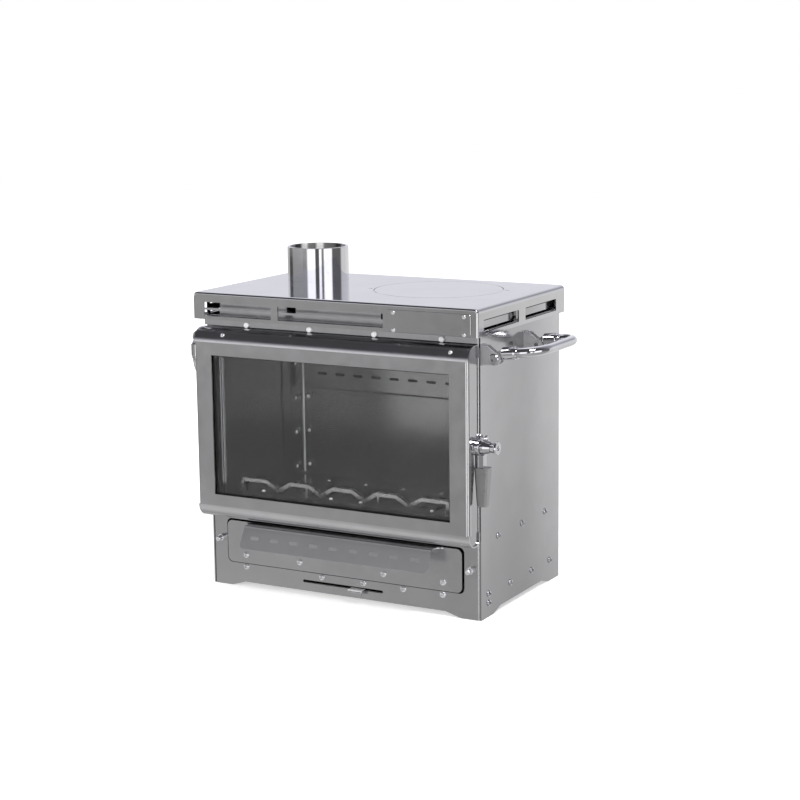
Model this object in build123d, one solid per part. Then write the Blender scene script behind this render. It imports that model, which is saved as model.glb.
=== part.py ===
from build123d import *
import math
import os

# Tent wood stove with a glazed door, an ash drawer, a removable cook plate and folding handles.
# Working frame, in mm: X to the stove's right, Y from the front panel to the rear, Z up from
# the floor. The finished parts are moved once, so that the origin is under the middle of the box.

# Body
body_half_width = 215.0
body_depth = 252.0
sheet = 2.0
liner_sheet = 1.5
panel_top = 422.7
fit_gap = 0.2
corner_bend = 2.5
flange_depth = 30.0
rear_flange_depth = 26.0
rear_drop = 2.2

# Feet cut into the lower edges
arch_height = 6.8
arch_run = 23.0
front_foot = 28.5
side_front_foot = 36.0
side_rear_foot = 36.5

# Hood
hood_half_width = body_half_width + 7.9
hood_front = -21.3
hood_rear = 254.0
hood_top = 425.0
hood_skirt = 37.9
hood_side_bend = 6.5
hood_front_bend = 3.0
vent_height = 19.5
vent_centre_z = 401.6
side_vent_height = 16.5
side_vent_centre_z = 400.6
side_vents = [(-4.8, 101.8), (122.6, 223.0)]
vent_corner = 1.5
vent_bar_height = 3.0
vent_bar_depth = 2.0
tongue_height = 9.5
tongue_relief = 3.5
upper_half_width = body_half_width - 23.2
upper_slot_x = 74.0
upper_slot_width = 14.0
upper_slot_height = 26.0

# Nameplate, left bare
plate_left = hood_half_width - 134.4
plate_right = hood_half_width - 10.4
plate_bottom = 387.8
plate_top = 417.6
plate_sheet = 1.2
plate_screw_x = 52.5
plate_screw_z = 11.8

# Front vents, left of the nameplate
front_vent_start = hood_half_width - 18.3
front_vent_length = 110.1
front_vent_rib = 11.3
front_vent_middle = front_vent_length + front_vent_rib - front_vent_start
front_vents = [
    (-front_vent_start, front_vent_length - front_vent_start),
    (front_vent_middle, plate_left - 6.7),
]

# Flue
flue_x = 78.1 - body_half_width
flue_y = 176.5
flue_bore_radius = 40.3
flue_wall = 4.4
flue_top = 473.5
flue_foot = 366.0
flue_flange_width = 11.0

# Cook plate
cook_x = body_half_width - 132.7
cook_y = 137.4
cook_radius = 90.4
cook_seam = 0.7
cook_thickness = 3.0
cook_ledge = 6.0
cook_spigot_height = 4.0
cook_spigot_wall = 2.0
cook_flange = 8.0
deck_ring = 4.0
cook_lift = 0.2
lifter_slot = 6.0

# Firebox
deck_top = 374.0
floor_top = 119.0
liner_half_width = body_half_width - 20.0
liner_rear = 222.0
liner_front = 19.0
rib_height = 2.0
rib_start = 163.0
rib_end = 183.0
pan_flange = 14.0
base_flange = 8.8
angle_side_leg = 36.0
angle_rear_leg = 17.0
duct_half_width = liner_half_width - 19.0
duct_bottom = 255.0
duct_height = 45.0
duct_depth = 9.0
duct_slots = 11
duct_slot_pitch = 2 * (duct_half_width - 6.6) / duct_slots
duct_slot_length = 16.0
duct_slot_height = 4.0
baffle_z = 336.0
baffle_front = 70.0
baffle_lip = 14.0
baffle_gap_inset = 60.0
baffle_gap_depth = 22.0
bracket_leg = 10.0
bracket_drop = 16.0
grate_half_width = 150.0
grate_lap = 8.0
grate_front = 40.0
grate_rear = 176.0
grate_thickness = 3.0
grate_slots = 12
grate_slot_width = 9.0
grate_margin = 15.0

# Fire opening and log guard
fire_half_width = body_half_width - 25.0
fire_bottom = 139.0
fire_top = 352.0
frame_depth = 16.0
frame_sheet = 1.5
frame_lip = 7.0
guard_bar = 5.0
guard_depth = 7.0
guard_y = 4.0
guard_high = 157.0
guard_low = 145.5
guard_pitch = 69.4
guard_plateau = 30.8
guard_end = fire_half_width - 26.0
guard_stay_x = 57.0

# Drawer
drawer_bottom = 34.8
drawer_top = 95.6
drawer_hole_half_width = body_half_width - 24.7
drawer_left = 0.8 - drawer_hole_half_width
drawer_right = drawer_hole_half_width - 3.7
drawer_hole_bottom = 34.0
drawer_hole_top = 98.6
drawer_corner = 8.0
tray_half_width = drawer_hole_half_width - 6.8
tray_height = 52.0
tray_depth = 234.0
tray_lift = 0.5
pull_half_width = 149.0
pull_nose_y = -17.0
pull_nose_drop = 1.0
pull_lip_y = -33.3
pull_lip_z = 66.0
pull_sheet = 1.6
pull_corner = 6.0
pull_root = 11.0
pull_slots = 9
pull_slot_pitch = 2 * (pull_half_width - 5.0) / pull_slots
pull_slot_length = 15.0
pull_slot_width = 5.0
drawer_screw_x = [24.5 - tray_half_width, -69.5, 65.5, tray_half_width - 25.5]
drawer_screw_z = 47.0
front_screw_x = [56.0 - body_half_width, -33.5, 33.5, 96.3, body_half_width - 57.7]
front_screw_z = 29.7
runner_height = 16.0

# Air slider
slider_slot_half = 64.5
slider_slot_height = 4.0
slider_slot_z = 20.8
slider_half_width = slider_slot_half + 35.5
slider_sheet = 1.4
slider_bottom = 10.0
slider_top = slider_slot_z - slider_slot_height / 2 - fit_gap
slider_hole_drop = 4.4
guide_sheet = 1.2
guide_offset = 25.0
guide_width = 12.0
air_box_depth = 24.0
air_box_half_width = slider_half_width + 4.0
tab_centre = 24.0
tab_width = 22.6
tab_reach = 9.0
tab_drop = 6.5

# Screws and studs
screw_head_radius = 4.6
screw_head_height = 2.6
screw_shank_radius = 2.5
screw_shank_length = 5.5
small_head_radius = 2.6
small_head_height = 1.6
side_screw_y_upper = [53.1, 128.9, 204.4]
side_screw_z_upper = 106.0
side_screw_y_lower = [91.1, 159.9, 220.7]
side_screw_z_lower = 30.7
corner_screw_y = 23.8
corner_screw_z = [19.3, 32.1]
front_stud_x = body_half_width - 15.0
front_stud_z = 68.6
header_stud_x = [-143.0, -41.0, 61.0, 163.0]
header_stud_radius = 2.9
header_stud_height = 3.2
stud_collar_radius = 5.0
stud_collar_height = 3.0
stud_tip_radius = 3.7
stud_tip_length = 8.5
liner_screw_pitch = 52.5
floor_screw_pitch = 63.5
sill_screw_x = [-135.0, -24.0, 24.0, 135.0]
rear_screw_inset = 60.0

# Header strip between the hood and the door
header_y = -7.0
header_bottom = 377.3
header_half_width = body_half_width - 1.0
header_sheet = 1.5
header_web_z = 389.0
header_top = 397.0

# Door
door_half_width = body_half_width - 0.5
door_front = -34.0
door_back = -1.5
door_bottom = 105.0
door_top = 376.0
door_front_roll = 19.0
door_back_roll = 8.0
door_return = 18.0
door_edge_bend = 2.5
door_edge_depth = 8.0
side_plate_inset = sheet + fit_gap
glass_window_half = door_half_width - 28.0
glass_window_bottom = 140.5
glass_window_top = 339.0
glass_overlap = 10.5
glass_thickness = 4.0
gasket_thickness = 1.7
retainer_sheet = 1.8
retainer_width = 19.5
retainer_screw_inset = 76.5
retainer_screw_z = 60.0
retainer_stud_radius = 2.0
retainer_nut_radius = 3.8
retainer_nut_height = 3.0
roll_screw_x = [45.8 - door_half_width, door_half_width - 27.3]
roll_screw_angle = 55.0
seal_width = 9.0
seal_thickness = 1.1

# Door hinge
hinge_x = -(door_half_width + 5.0)
hinge_y = -4.0
hinge_barrel_radius = 4.5
hinge_pin_radius = 2.5
hinge_half_height = 18.0
hinge_z = [160.0, 320.0]
hinge_leaf_depth = 21.0
running_gap = 0.05

# Latch
latch_y = -12.0
latch_z = 242.0
latch_hub_radius = 12.0
latch_flange_thickness = 3.2
latch_hub_length = 7.5
latch_gap = 0.3
spindle_radius = 4.0
sleeve_length = 13.5
sleeve_radius = 10.0
sleeve_end_radius = 7.2
cap_length = 9.5
cap_neck_radius = 6.6
cap_end_radius = 9.0
keeper_y = 6.0
keeper_z = 244.0
keeper_radius = 2.5
keeper_head_radius = 4.5
hook_thickness = 3.6
hook_slot = 3.2
hook_finger = 4.6
grip_top = 215.0
grip_bottom = 162.5
grip_top_width = 20.0
grip_top_depth = 16.0
grip_bottom_width = 14.0
grip_bottom_depth = 11.5
grip_chamfer = 2.4
neck_width = 12.0
neck_depth = 10.5

# Handles
pivot_out = 19.0
pivot_y = 10.0
pivot_z = 357.0
handle_span = 130.0
handle_rise = 6.0
handle_reach = 62.0
handle_tilt = 6.0
handle_bend = 30.0
handle_tube_radius = 6.5
ferrule_radius = 8.6
ferrule_start = 10.0
ferrule_length = 22.0
ferrule_wall_gap = 0.05
tongue_half = 3.6
ear_thickness = 3.0
ear_radius = 8.6
ear_gap = 0.3
bracket_low = -10.0
bracket_high = 18.0
bracket_plate = 2.5
handle_pin_radius = 3.0
handle_pin_head = 7.2
handle_pin_head_thickness = 3.4
handle_pin_socket = 3.2


def block(x0, x1, y0, y1, z0, z1):
    """A block between two opposite corners."""
    return Pos((x0 + x1) / 2, (y0 + y1) / 2, (z0 + z1) / 2) * Box(x1 - x0, y1 - y0, z1 - z0)


def sheet_y(face, y, thickness):
    """A face drawn in X and Z, thickened towards the rear from y."""
    plane = Plane((0, y, 0), x_dir=(1, 0, 0), z_dir=(0, -1, 0))
    return extrude(plane * face, amount=-thickness)


def sheet_x(face, x, thickness):
    """A face drawn in Y and Z, thickened towards the right from x."""
    plane = Plane((x, 0, 0), x_dir=(0, 1, 0), z_dir=(1, 0, 0))
    return extrude(plane * face, amount=thickness)


def sheet_z(face, z, thickness):
    """A face drawn in X and Y, thickened upwards from z."""
    return extrude(Plane.XY.offset(z) * face, amount=thickness)


def outline(points):
    return make_face(Polyline(*points, close=True))


def slot_face(x0, x1, z0, z1, radius=0.0):
    """A rectangle between two corners, with rounded corners where a radius is given."""
    width = x1 - x0
    height = z1 - z0
    if radius > 0:
        shape = RectangleRounded(width, height, radius)
    else:
        shape = Rectangle(width, height)
    return Pos((x0 + x1) / 2, (z0 + z1) / 2) * shape


def obround(length, width):
    return SlotOverall(length, width)


def bent_strip(points, radius, thickness, side):
    """The edge-on profile of a folded sheet that follows the points."""
    line = FilletPolyline(*points, radius=radius)
    return make_face(offset(line, amount=thickness, side=side))


def cylinder_y(x, z, y0, y1, radius):
    return sheet_y(Pos(x, z) * Circle(radius), y0, y1 - y0)


def cylinder_x(y, z, x0, x1, radius):
    return sheet_x(Pos(y, z) * Circle(radius), x0, x1 - x0)


def cylinder_z(x, y, z0, z1, radius):
    return sheet_z(Pos(x, y) * Circle(radius), z0, z1 - z0)


def feet_cut(start, end, first_foot, last_foot):
    """The low arch between two feet, as a face from below the floor to the arch's top."""
    return outline([
        (start + first_foot - arch_run / arch_height, -1),
        (start + first_foot + arch_run, arch_height),
        (end - last_foot - arch_run, arch_height),
        (end - last_foot + arch_run / arch_height, -1),
    ])


def button_screw(radius, height, shank_radius=0.0, shank_length=0.0):
    """A round-headed screw that stands on the XY plane, head up, shank down."""
    points = [(0, height), (radius * 0.55, height), (radius, 0)]
    if shank_length > 0:
        points += [(shank_radius, 0), (shank_radius, -shank_length), (0, -shank_length)]
    else:
        points += [(0, 0)]
    return revolve(Plane.XZ * outline(points), Axis.Z)


def facing(direction, x, y, z):
    """A place on a surface whose outward normal is the direction."""
    return Plane((x, y, z), z_dir=direction).location


def folded_pan(x0, x1, y0, y1, z_top, depth, thickness, bend):
    """A sheet pan with a flat top and flanges turned down on all four sides."""
    outer = block(x0, x1, y0, y1, z_top - depth, z_top)
    outer = fillet(outer.edges().filter_by(Axis.Z), bend + thickness)
    outer = fillet(outer.edges().group_by(Axis.Z)[-1], bend + thickness)
    inner = block(x0 + thickness, x1 - thickness, y0 + thickness, y1 - thickness,
                  z_top - depth - 1, z_top - thickness)
    inner = fillet(inner.edges().filter_by(Axis.Z), bend)
    inner = fillet(inner.edges().group_by(Axis.Z)[-1], bend)
    return outer - inner


def front_screw_places():
    return [(x, front_screw_z) for x in front_screw_x]


def side_screw_places():
    """Y and Z of the round heads on each side panel."""
    places = [(y, side_screw_z_upper) for y in side_screw_y_upper]
    places += [(y, side_screw_z_lower) for y in side_screw_y_lower]
    places += [(corner_screw_y, z) for z in corner_screw_z]
    return places


def make_front_panel():
    """Front sheet with side flanges, the fire opening, the drawer opening and the slider slot."""
    half = body_half_width - sheet - fit_gap
    path = [(-half, flange_depth), (-half, 0), (half, 0), (half, flange_depth)]
    profile = bent_strip(path, corner_bend, sheet, Side.LEFT)
    panel = sheet_z(profile, 0, panel_top)
    cuts = slot_face(-fire_half_width, fire_half_width, fire_bottom, fire_top, 3)
    cuts += slot_face(-drawer_hole_half_width, drawer_hole_half_width,
                      drawer_hole_bottom, drawer_hole_top, drawer_corner)
    cuts += Pos(0, slider_slot_z) * obround(2 * slider_slot_half, slider_slot_height)
    cuts += feet_cut(-half, half, front_foot, front_foot)
    for side in (-1, 1):
        cuts += Pos(side * upper_slot_x, vent_centre_z) * Rectangle(upper_slot_width, upper_slot_height)
        cuts += Pos(side * front_stud_x, front_stud_z) * Circle(screw_shank_radius + running_gap)
    for x, z in front_screw_places():
        cuts += Pos(x, z) * Circle(screw_shank_radius + running_gap)
    panel -= sheet_y(cuts, -1, sheet + 2)
    shoulder = hood_top - hood_skirt + 1
    for side in (-1, 1):
        edge = side * (half + upper_half_width) / 2
        width = half - upper_half_width
        panel -= Pos(edge, flange_depth / 2, (shoulder + panel_top) / 2) * Box(
            width, flange_depth + 4, panel_top - shoulder + fit_gap)
        for z in corner_screw_z:
            panel -= cylinder_x(corner_screw_y, z, side * half - 3, side * half + 3,
                                screw_shank_radius + running_gap)
    return panel


def vent_tongue(y0, y1):
    """A slot of three sides behind a side vent, which leaves a tongue with a round free end."""
    middle = (y0 + y1) / 2
    slot = Pos(middle, side_vent_centre_z) * RectangleRounded(y1 - y0, side_vent_height, vent_corner)
    length = y1 - y0 - tongue_relief
    tongue = Pos(y0 + length / 2, side_vent_centre_z) * obround(length, tongue_height)
    root = Pos(y0 + tongue_height / 2, side_vent_centre_z) * Rectangle(tongue_height + 2, tongue_height)
    return slot - (tongue + root)


def make_side_panel(side):
    """Side sheet with feet, the vent tongues under the hood and its screw holes."""
    front = 0.8
    face = slot_face(front, body_depth, 0, panel_top)
    face = chamfer(face.vertices().sort_by(lambda corner: corner.Y + corner.X)[-1], rear_drop + fit_gap)
    face -= feet_cut(front, body_depth, side_front_foot, side_rear_foot)
    for y0, y1 in side_vents:
        face -= vent_tongue(max(y0, front + 6), y1)
    for y, z in side_screw_places():
        face -= Pos(y, z) * Circle(screw_shank_radius + running_gap)
    start = body_half_width - sheet if side > 0 else -body_half_width
    return sheet_x(face, start, sheet)


def make_rear_panel():
    """Rear sheet with flanges folded forward inside the side panels."""
    half = body_half_width - sheet - fit_gap
    inner = body_depth - rear_flange_depth
    path = [(-half, inner), (-half, body_depth), (half, body_depth), (half, inner)]
    profile = bent_strip(path, corner_bend, sheet, Side.RIGHT)
    panel = sheet_z(profile, 0, panel_top - rear_drop)
    cuts = feet_cut(-half, half, front_foot, front_foot)
    for x in rear_screw_x():
        for z in (side_screw_z_lower, side_screw_z_upper):
            cuts += Pos(x, z) * Circle(screw_shank_radius + running_gap)
    return panel - sheet_y(cuts, body_depth - sheet - 1, sheet + 2)


def rear_screw_x():
    spread = body_half_width - rear_screw_inset
    return [-spread, -spread / 3, spread / 3, spread]


def inner_pan(z_top, depth):
    """A pan that fits between the four walls of the body, with flanges turned down."""
    half = body_half_width - 2 * sheet - 2 * fit_gap
    return folded_pan(-half, half, sheet + fit_gap, body_depth - sheet - fit_gap, z_top, depth, sheet, 1.5)


def shank_holes(part, z):
    """Clear the side, front and rear screws' shanks at one height out of a pan's flanges."""
    reach = body_half_width
    clear = screw_shank_radius + running_gap
    places = [place for place in side_screw_places() if place[1] == z]
    for y, height in places:
        for side in (-1, 1):
            part -= cylinder_x(y, height, side * reach - 12, side * reach + 12, clear)
    for x in rear_screw_x():
        part -= cylinder_y(x, z, body_depth - 14, body_depth + 2, clear)
    return part


def make_base_plate():
    """Floor of the drawer bay, with flanges screwed to all four walls."""
    pan = inner_pan(drawer_hole_bottom, base_flange)
    pan = shank_holes(pan, side_screw_z_lower)
    pan = shank_holes(pan, corner_screw_z[-1])
    for x, z in front_screw_places():
        pan -= cylinder_y(x, z, 0, 12, screw_shank_radius + running_gap)
    return pan


def make_firebox_floor():
    """Pan under the fire, open under the grate so that ash falls into the drawer."""
    pan = inner_pan(floor_top, pan_flange + 6.0)
    hole = slot_face(grate_lap - grate_half_width, grate_half_width - grate_lap,
                     grate_front + grate_lap, grate_rear - grate_lap, 4)
    pan -= sheet_z(hole, floor_top - 10, 20)
    return shank_holes(pan, side_screw_z_upper)


def make_firebox_deck():
    """Top of the firebox, with holes for the flue and the cook plate's sleeve."""
    pan = inner_pan(deck_top, pan_flange)
    holes = Pos(flue_x, flue_y) * Circle(flue_bore_radius + flue_wall + fit_gap)
    holes += Pos(cook_x, cook_y) * Circle(cook_radius - cook_ledge - deck_ring)
    return pan - sheet_z(holes, deck_top - 10, 20)


def make_grate():
    """Slotted plate that lies over the hole in the firebox floor."""
    face = slot_face(-grate_half_width, grate_half_width, grate_front, grate_rear, 6)
    pitch = 2 * (grate_half_width - grate_margin) / grate_slots
    length = grate_rear - grate_front - 2 * grate_margin
    slot = Rot(0, 0, 90) * obround(length, grate_slot_width)
    middle = (grate_front + grate_rear) / 2
    for index in range(grate_slots):
        x = (index - (grate_slots - 1) / 2) * pitch
        face -= Pos(x, middle) * slot
    return sheet_z(face, floor_top + fit_gap, grate_thickness)


def make_side_liner(side):
    """Side liner with one pressed rib, standing between the floor and the deck."""
    path = [(liner_half_width, liner_front), (liner_half_width, rib_start - 3),
            (liner_half_width - rib_height, rib_start), (liner_half_width - rib_height, rib_end),
            (liner_half_width, rib_end + 3), (liner_half_width, liner_rear)]
    profile = make_face(offset(Polyline(*path), amount=liner_sheet, side=Side.RIGHT))
    liner = sheet_z(profile, floor_top + fit_gap, deck_top - sheet - floor_top - 2 * fit_gap)
    return liner if side > 0 else mirror(liner, about=Plane.YZ)


def make_rear_liner():
    face = slot_face(-liner_half_width, liner_half_width, floor_top + fit_gap, deck_top - sheet - fit_gap)
    return sheet_y(face, liner_rear + fit_gap, liner_sheet)


def make_corner_angles():
    """Folded angles that join the side liners to the rear liner."""
    angle_sheet = 1.2
    outer = liner_half_width - fit_gap
    path = [(outer, liner_rear - angle_side_leg), (outer, liner_rear), (outer - angle_rear_leg, liner_rear)]
    profile = bent_strip(path, 2.5, angle_sheet, Side.LEFT)
    angle = sheet_z(profile, floor_top + 3, deck_top - floor_top - 8)
    return Compound(children=[angle, mirror(angle, about=Plane.YZ)])


def make_liner_screws():
    """Small heads on the corner angles, the floor and the sill of the fire opening."""
    head = button_screw(small_head_radius, small_head_height)
    angle_face = liner_half_width - fit_gap - 1.2
    heads = []
    for index in range(4):
        z = floor_top + 15 + liner_screw_pitch * index
        for side in (-1, 1):
            heads.append(facing((-side, 0, 0), side * angle_face, liner_rear - angle_side_leg * 0.64, z) * head)
            heads.append(facing((0, -1, 0), side * (angle_face - 9), liner_rear - 1.2, z) * head)
    for index in range(5):
        x = (index - 2) * floor_screw_pitch - 4
        heads.append(facing((0, 0, 1), x, (grate_rear + liner_rear) / 2 - 12, floor_top) * head)
    for x in sill_screw_x:
        heads.append(facing((0, 0, 1), x, sheet + frame_depth - 4, sill_top()) * head)
    return Compound(children=heads)


def make_air_duct():
    """Slotted box on the rear liner that feeds heated air above the fire."""
    back = liner_rear
    front = liner_rear - duct_depth
    path = [(back, duct_bottom), (front, duct_bottom), (front, duct_bottom + duct_height),
            (back, duct_bottom + duct_height)]
    profile = bent_strip(path, 2.0, liner_sheet, Side.LEFT)
    duct = sheet_x(profile, -duct_half_width, 2 * duct_half_width)
    slots = Sketch()
    for index in range(duct_slots):
        x = (index - (duct_slots - 1) / 2) * duct_slot_pitch
        slots += Pos(x, duct_bottom + duct_height / 2) * obround(duct_slot_length, duct_slot_height)
    return duct - sheet_y(slots, front - 1, 4)


def make_baffle():
    """Smoke shelf above the fire, with a lip folded down at its front."""
    path = [(baffle_front, baffle_z - baffle_lip), (baffle_front, baffle_z), (liner_rear - 2, baffle_z)]
    profile = bent_strip(path, 3.0, liner_sheet, Side.LEFT)
    half = liner_half_width - rib_height - 0.5
    baffle = sheet_x(profile, -half, 2 * half)
    gap_half = half - baffle_gap_inset
    gap = slot_face(-gap_half, gap_half, liner_rear - baffle_gap_depth, liner_rear + liner_sheet, liner_sheet)
    return baffle - sheet_z(gap, baffle_z - 2 * liner_sheet, 4 * liner_sheet)


def make_baffle_brackets():
    """Angles on the side liners that carry the baffle."""
    shelf = baffle_z - liner_sheet - fit_gap
    path = [(liner_half_width - bracket_leg, shelf), (liner_half_width, shelf),
            (liner_half_width, baffle_z - bracket_drop)]
    profile = make_face(offset(Polyline(*path), amount=liner_sheet, side=Side.RIGHT))
    bracket = sheet_y(profile, baffle_front + bracket_leg, rib_start - baffle_front - 2 * bracket_leg)
    return Compound(children=[bracket, mirror(bracket, about=Plane.YZ)])


def sill_top():
    return fire_bottom + frame_sheet


def make_opening_frame():
    """Sleeve that lines the fire opening and forms its sill."""
    outer = slot_face(-fire_half_width, fire_half_width, fire_bottom, fire_top, 3)
    inner = slot_face(-fire_half_width + frame_sheet, fire_half_width - frame_sheet,
                      sill_top(), fire_top - frame_sheet, 1.5)
    ring = sheet_y(outer - inner, sheet, frame_depth)
    lip_outer = slot_face(-fire_half_width - frame_lip, fire_half_width + frame_lip,
                          fire_bottom - frame_lip, fire_top + frame_lip, 6)
    return ring + sheet_y(lip_outer - inner, sheet, frame_sheet)


def make_log_guard():
    """Flat bar bent into a row of humps, on end legs and two thin stays."""
    sill = sill_top()
    half = guard_plateau / 2
    points = [(-guard_end, sill), (-guard_end, guard_high)]
    for index in range(4):
        valley = (index - 1.5) * guard_pitch
        run = (guard_pitch - guard_plateau) / 2
        points += [(valley - run, guard_high), (valley, guard_low), (valley + run, guard_high)]
    points += [(guard_end, guard_high), (guard_end, sill)]
    line = FilletPolyline(*points, radius=3.0)
    face = make_face(offset(line, amount=guard_bar / 2, side=Side.BOTH))
    bar = sheet_y(face, guard_y, guard_depth) - block(-300, 300, -5, 40, sill - 9, sill)
    for side in (-1, 1):
        bar += block(side * guard_stay_x - 1.3, side * guard_stay_x + 1.3, guard_y, guard_y + 2,
                     sill, guard_high)
    return bar


def make_header_strip():
    """Z-shaped strip that closes the gap between the hood and the door."""
    back = -header_sheet
    path = [(header_y, header_bottom), (header_y, header_web_z), (back, header_web_z), (back, header_top)]
    profile = bent_strip(path, 1.8, header_sheet, Side.RIGHT)
    half = header_half_width
    strip = sheet_x(profile, -half, 2 * half)
    for side in (-1, 1):
        edge = side * (half + upper_half_width) / 2
        strip -= Pos(edge, -header_sheet, header_web_z + 12) * Box(half - upper_half_width, 30, 20)
    return strip


def make_header_studs():
    stud = button_screw(header_stud_radius, header_stud_height)
    z = header_bottom + header_stud_radius
    return Compound(children=[facing((0, -1, 0), x, header_y, z) * stud for x in header_stud_x])


def hood_block(inset):
    """The hood's outer form, or its hollow when inset by the sheet."""
    half = hood_half_width - inset
    top = hood_top - inset
    bottom = hood_top - hood_skirt - inset
    radius = hood_side_bend - inset
    path = [(-half, bottom), (-half, top), (half, top), (half, bottom)]
    edge = FilletPolyline(*path, radius=radius)
    face = make_face(edge + Line((half, bottom), (-half, bottom)))
    depth = hood_rear - hood_front - 2 * inset
    solid = sheet_y(face, hood_front + inset, depth)
    front_edges = solid.faces().sort_by(Axis.Y)[0].edges().filter_by(
        lambda edge_: edge_.center().Z > bottom + 0.1)
    rear_edges = solid.faces().sort_by(Axis.Y)[-1].edges().filter_by(
        lambda edge_: edge_.center().Z > bottom + 0.1)
    return fillet(front_edges + rear_edges, hood_front_bend - inset * 0.5)


def make_hood():
    """Folded hood with vents in its skirt and round holes for the flue and the cook plate."""
    hood = hood_block(0) - hood_block(sheet)
    front_cut = Sketch()
    for x0, x1 in front_vents:
        front_cut += slot_face(x0, x1, vent_centre_z - vent_height / 2,
                               vent_centre_z + vent_height / 2, vent_corner)
    hood -= sheet_y(front_cut, hood_front - 1, sheet + 2)
    side_cut = Sketch()
    for y0, y1 in side_vents:
        side_cut += slot_face(y0, y1, side_vent_centre_z - side_vent_height / 2,
                              side_vent_centre_z + side_vent_height / 2, vent_corner)
    hood -= sheet_x(side_cut, hood_half_width - sheet - 1, sheet + 2)
    hood -= sheet_x(side_cut, -hood_half_width - 1, sheet + 2)
    top_cut = Pos(flue_x, flue_y) * Circle(flue_bore_radius + flue_wall + fit_gap)
    top_cut += Pos(cook_x, cook_y) * Circle(cook_radius + cook_seam / 2)
    for side in (-1, 1):
        reach = cook_radius + lifter_slot
        angle = math.radians(18)
        top_cut += Pos(cook_x + side * reach * math.cos(angle), cook_y + side * reach * math.sin(angle)
                       ) * obround(lifter_slot, 2)
    return hood - sheet_z(top_cut, hood_top - sheet - 1, sheet + 2)


def make_vent_bars():
    """A thin bar behind each front vent."""
    bars = []
    for x0, x1 in front_vents:
        y = hood_front + sheet
        bars.append(block(x0 - 4, x1 + 4, y, y + vent_bar_depth,
                          vent_centre_z - vent_bar_height / 2, vent_centre_z + vent_bar_height / 2))
    return Compound(children=bars)


def make_nameplate():
    """Bare plate on the hood's skirt, with raised screw pads left flat."""
    face = slot_face(plate_left, plate_right, plate_bottom, plate_top, 3)
    plate = sheet_y(face, hood_front - plate_sheet, plate_sheet)
    front = plate.faces().sort_by(Axis.Y)[0].edges()
    return chamfer(front, 0.3)


def make_nameplate_screws():
    screw = button_screw(small_head_radius + 0.2, small_head_height)
    x = (plate_left + plate_right) / 2
    z = (plate_bottom + plate_top) / 2 - 0.7
    places = [(x + a * plate_screw_x, z + b * plate_screw_z) for a in (-1, 1) for b in (-1, 1)]
    return Compound(children=[facing((0, -1, 0), px, hood_front - plate_sheet, pz) * screw
                              for px, pz in places])


def make_flue_collar():
    """Pipe collar, open right through, with a chamfered mouth."""
    inner = flue_bore_radius
    outer = flue_bore_radius + flue_wall
    face = slot_face(inner, outer, flue_foot, flue_top)
    tube = revolve(Plane.XZ * face, Axis.Z)
    rim = tube.edges().filter_by(GeomType.CIRCLE).group_by(Axis.Z)[-1]
    return Pos(flue_x, flue_y) * chamfer(rim, 0.5)


def make_flue_flanges():
    """Rings that hold the collar under the hood and on the deck."""
    inner = flue_bore_radius + flue_wall + running_gap
    ring = Circle(inner + flue_flange_width) - Circle(inner)
    upper = sheet_z(Pos(flue_x, flue_y) * ring, hood_top - 2 * sheet, sheet)
    lower = sheet_z(Pos(flue_x, flue_y) * ring, deck_top, sheet)
    return Compound(children=[upper, lower])


def make_cook_sleeve():
    """Sleeve from the deck to the hood, with the ledge that the cook plate sits on."""
    ledge_top = hood_top - cook_thickness - cook_lift
    inner = cook_radius - cook_ledge
    rim = cook_radius + cook_seam
    points = [(inner, deck_top), (inner + sheet, deck_top), (inner + sheet, ledge_top - sheet),
              (rim + 1.5, ledge_top - sheet), (rim + 1.5, hood_top - 2 * sheet),
              (rim + cook_flange, hood_top - 2 * sheet), (rim + cook_flange, hood_top - sheet),
              (rim, hood_top - sheet), (rim, ledge_top), (inner, ledge_top)]
    return Pos(cook_x, cook_y) * revolve(Plane.XZ * outline(points), Axis.Z)


def make_cook_plate():
    """Round plate, flush with the hood, with a ring below that centres it."""
    radius = cook_radius - cook_seam / 2
    plate = Pos(0, 0, hood_top - cook_thickness) * Cylinder(
        radius, cook_thickness, align=(Align.CENTER, Align.CENTER, Align.MIN))
    plate = chamfer(plate.edges().group_by(Axis.Z)[-1], 0.4)
    spigot = cook_radius - cook_ledge - 1.2
    ring = sheet_z(Circle(spigot) - Circle(spigot - cook_spigot_wall),
                   hood_top - cook_thickness - cook_spigot_height, cook_spigot_height)
    return Pos(cook_x, cook_y) * (plate + ring)


def make_front_studs():
    """Stepped studs beside the drawer."""
    end = stud_collar_height + stud_tip_length
    bevel = stud_tip_radius / 4
    points = [(0, end), (stud_tip_radius - bevel, end), (stud_tip_radius, end - bevel),
              (stud_tip_radius, stud_collar_height), (stud_collar_radius, stud_collar_height),
              (stud_collar_radius, 0), (screw_shank_radius, 0), (screw_shank_radius, -screw_shank_length),
              (0, -screw_shank_length)]
    stud = revolve(Plane.XZ * outline(points), Axis.Z)
    return Compound(children=[facing((0, -1, 0), side * front_stud_x, 0, front_stud_z) * stud
                              for side in (-1, 1)])


def wall_screw():
    return button_screw(screw_head_radius, screw_head_height, screw_shank_radius, screw_shank_length)


def make_front_screws():
    screw = wall_screw()
    return Compound(children=[facing((0, -1, 0), x, 0, z) * screw for x, z in front_screw_places()])


def make_side_screws():
    screw = wall_screw()
    heads = []
    for side in (-1, 1):
        for y, z in side_screw_places():
            heads.append(facing((side, 0, 0), side * body_half_width, y, z) * screw)
    return Compound(children=heads)


def make_rear_screws():
    screw = wall_screw()
    heads = []
    for x in rear_screw_x():
        for z in (side_screw_z_lower, side_screw_z_upper):
            heads.append(facing((0, 1, 0), x, body_depth, z) * screw)
    return Compound(children=heads)


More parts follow.
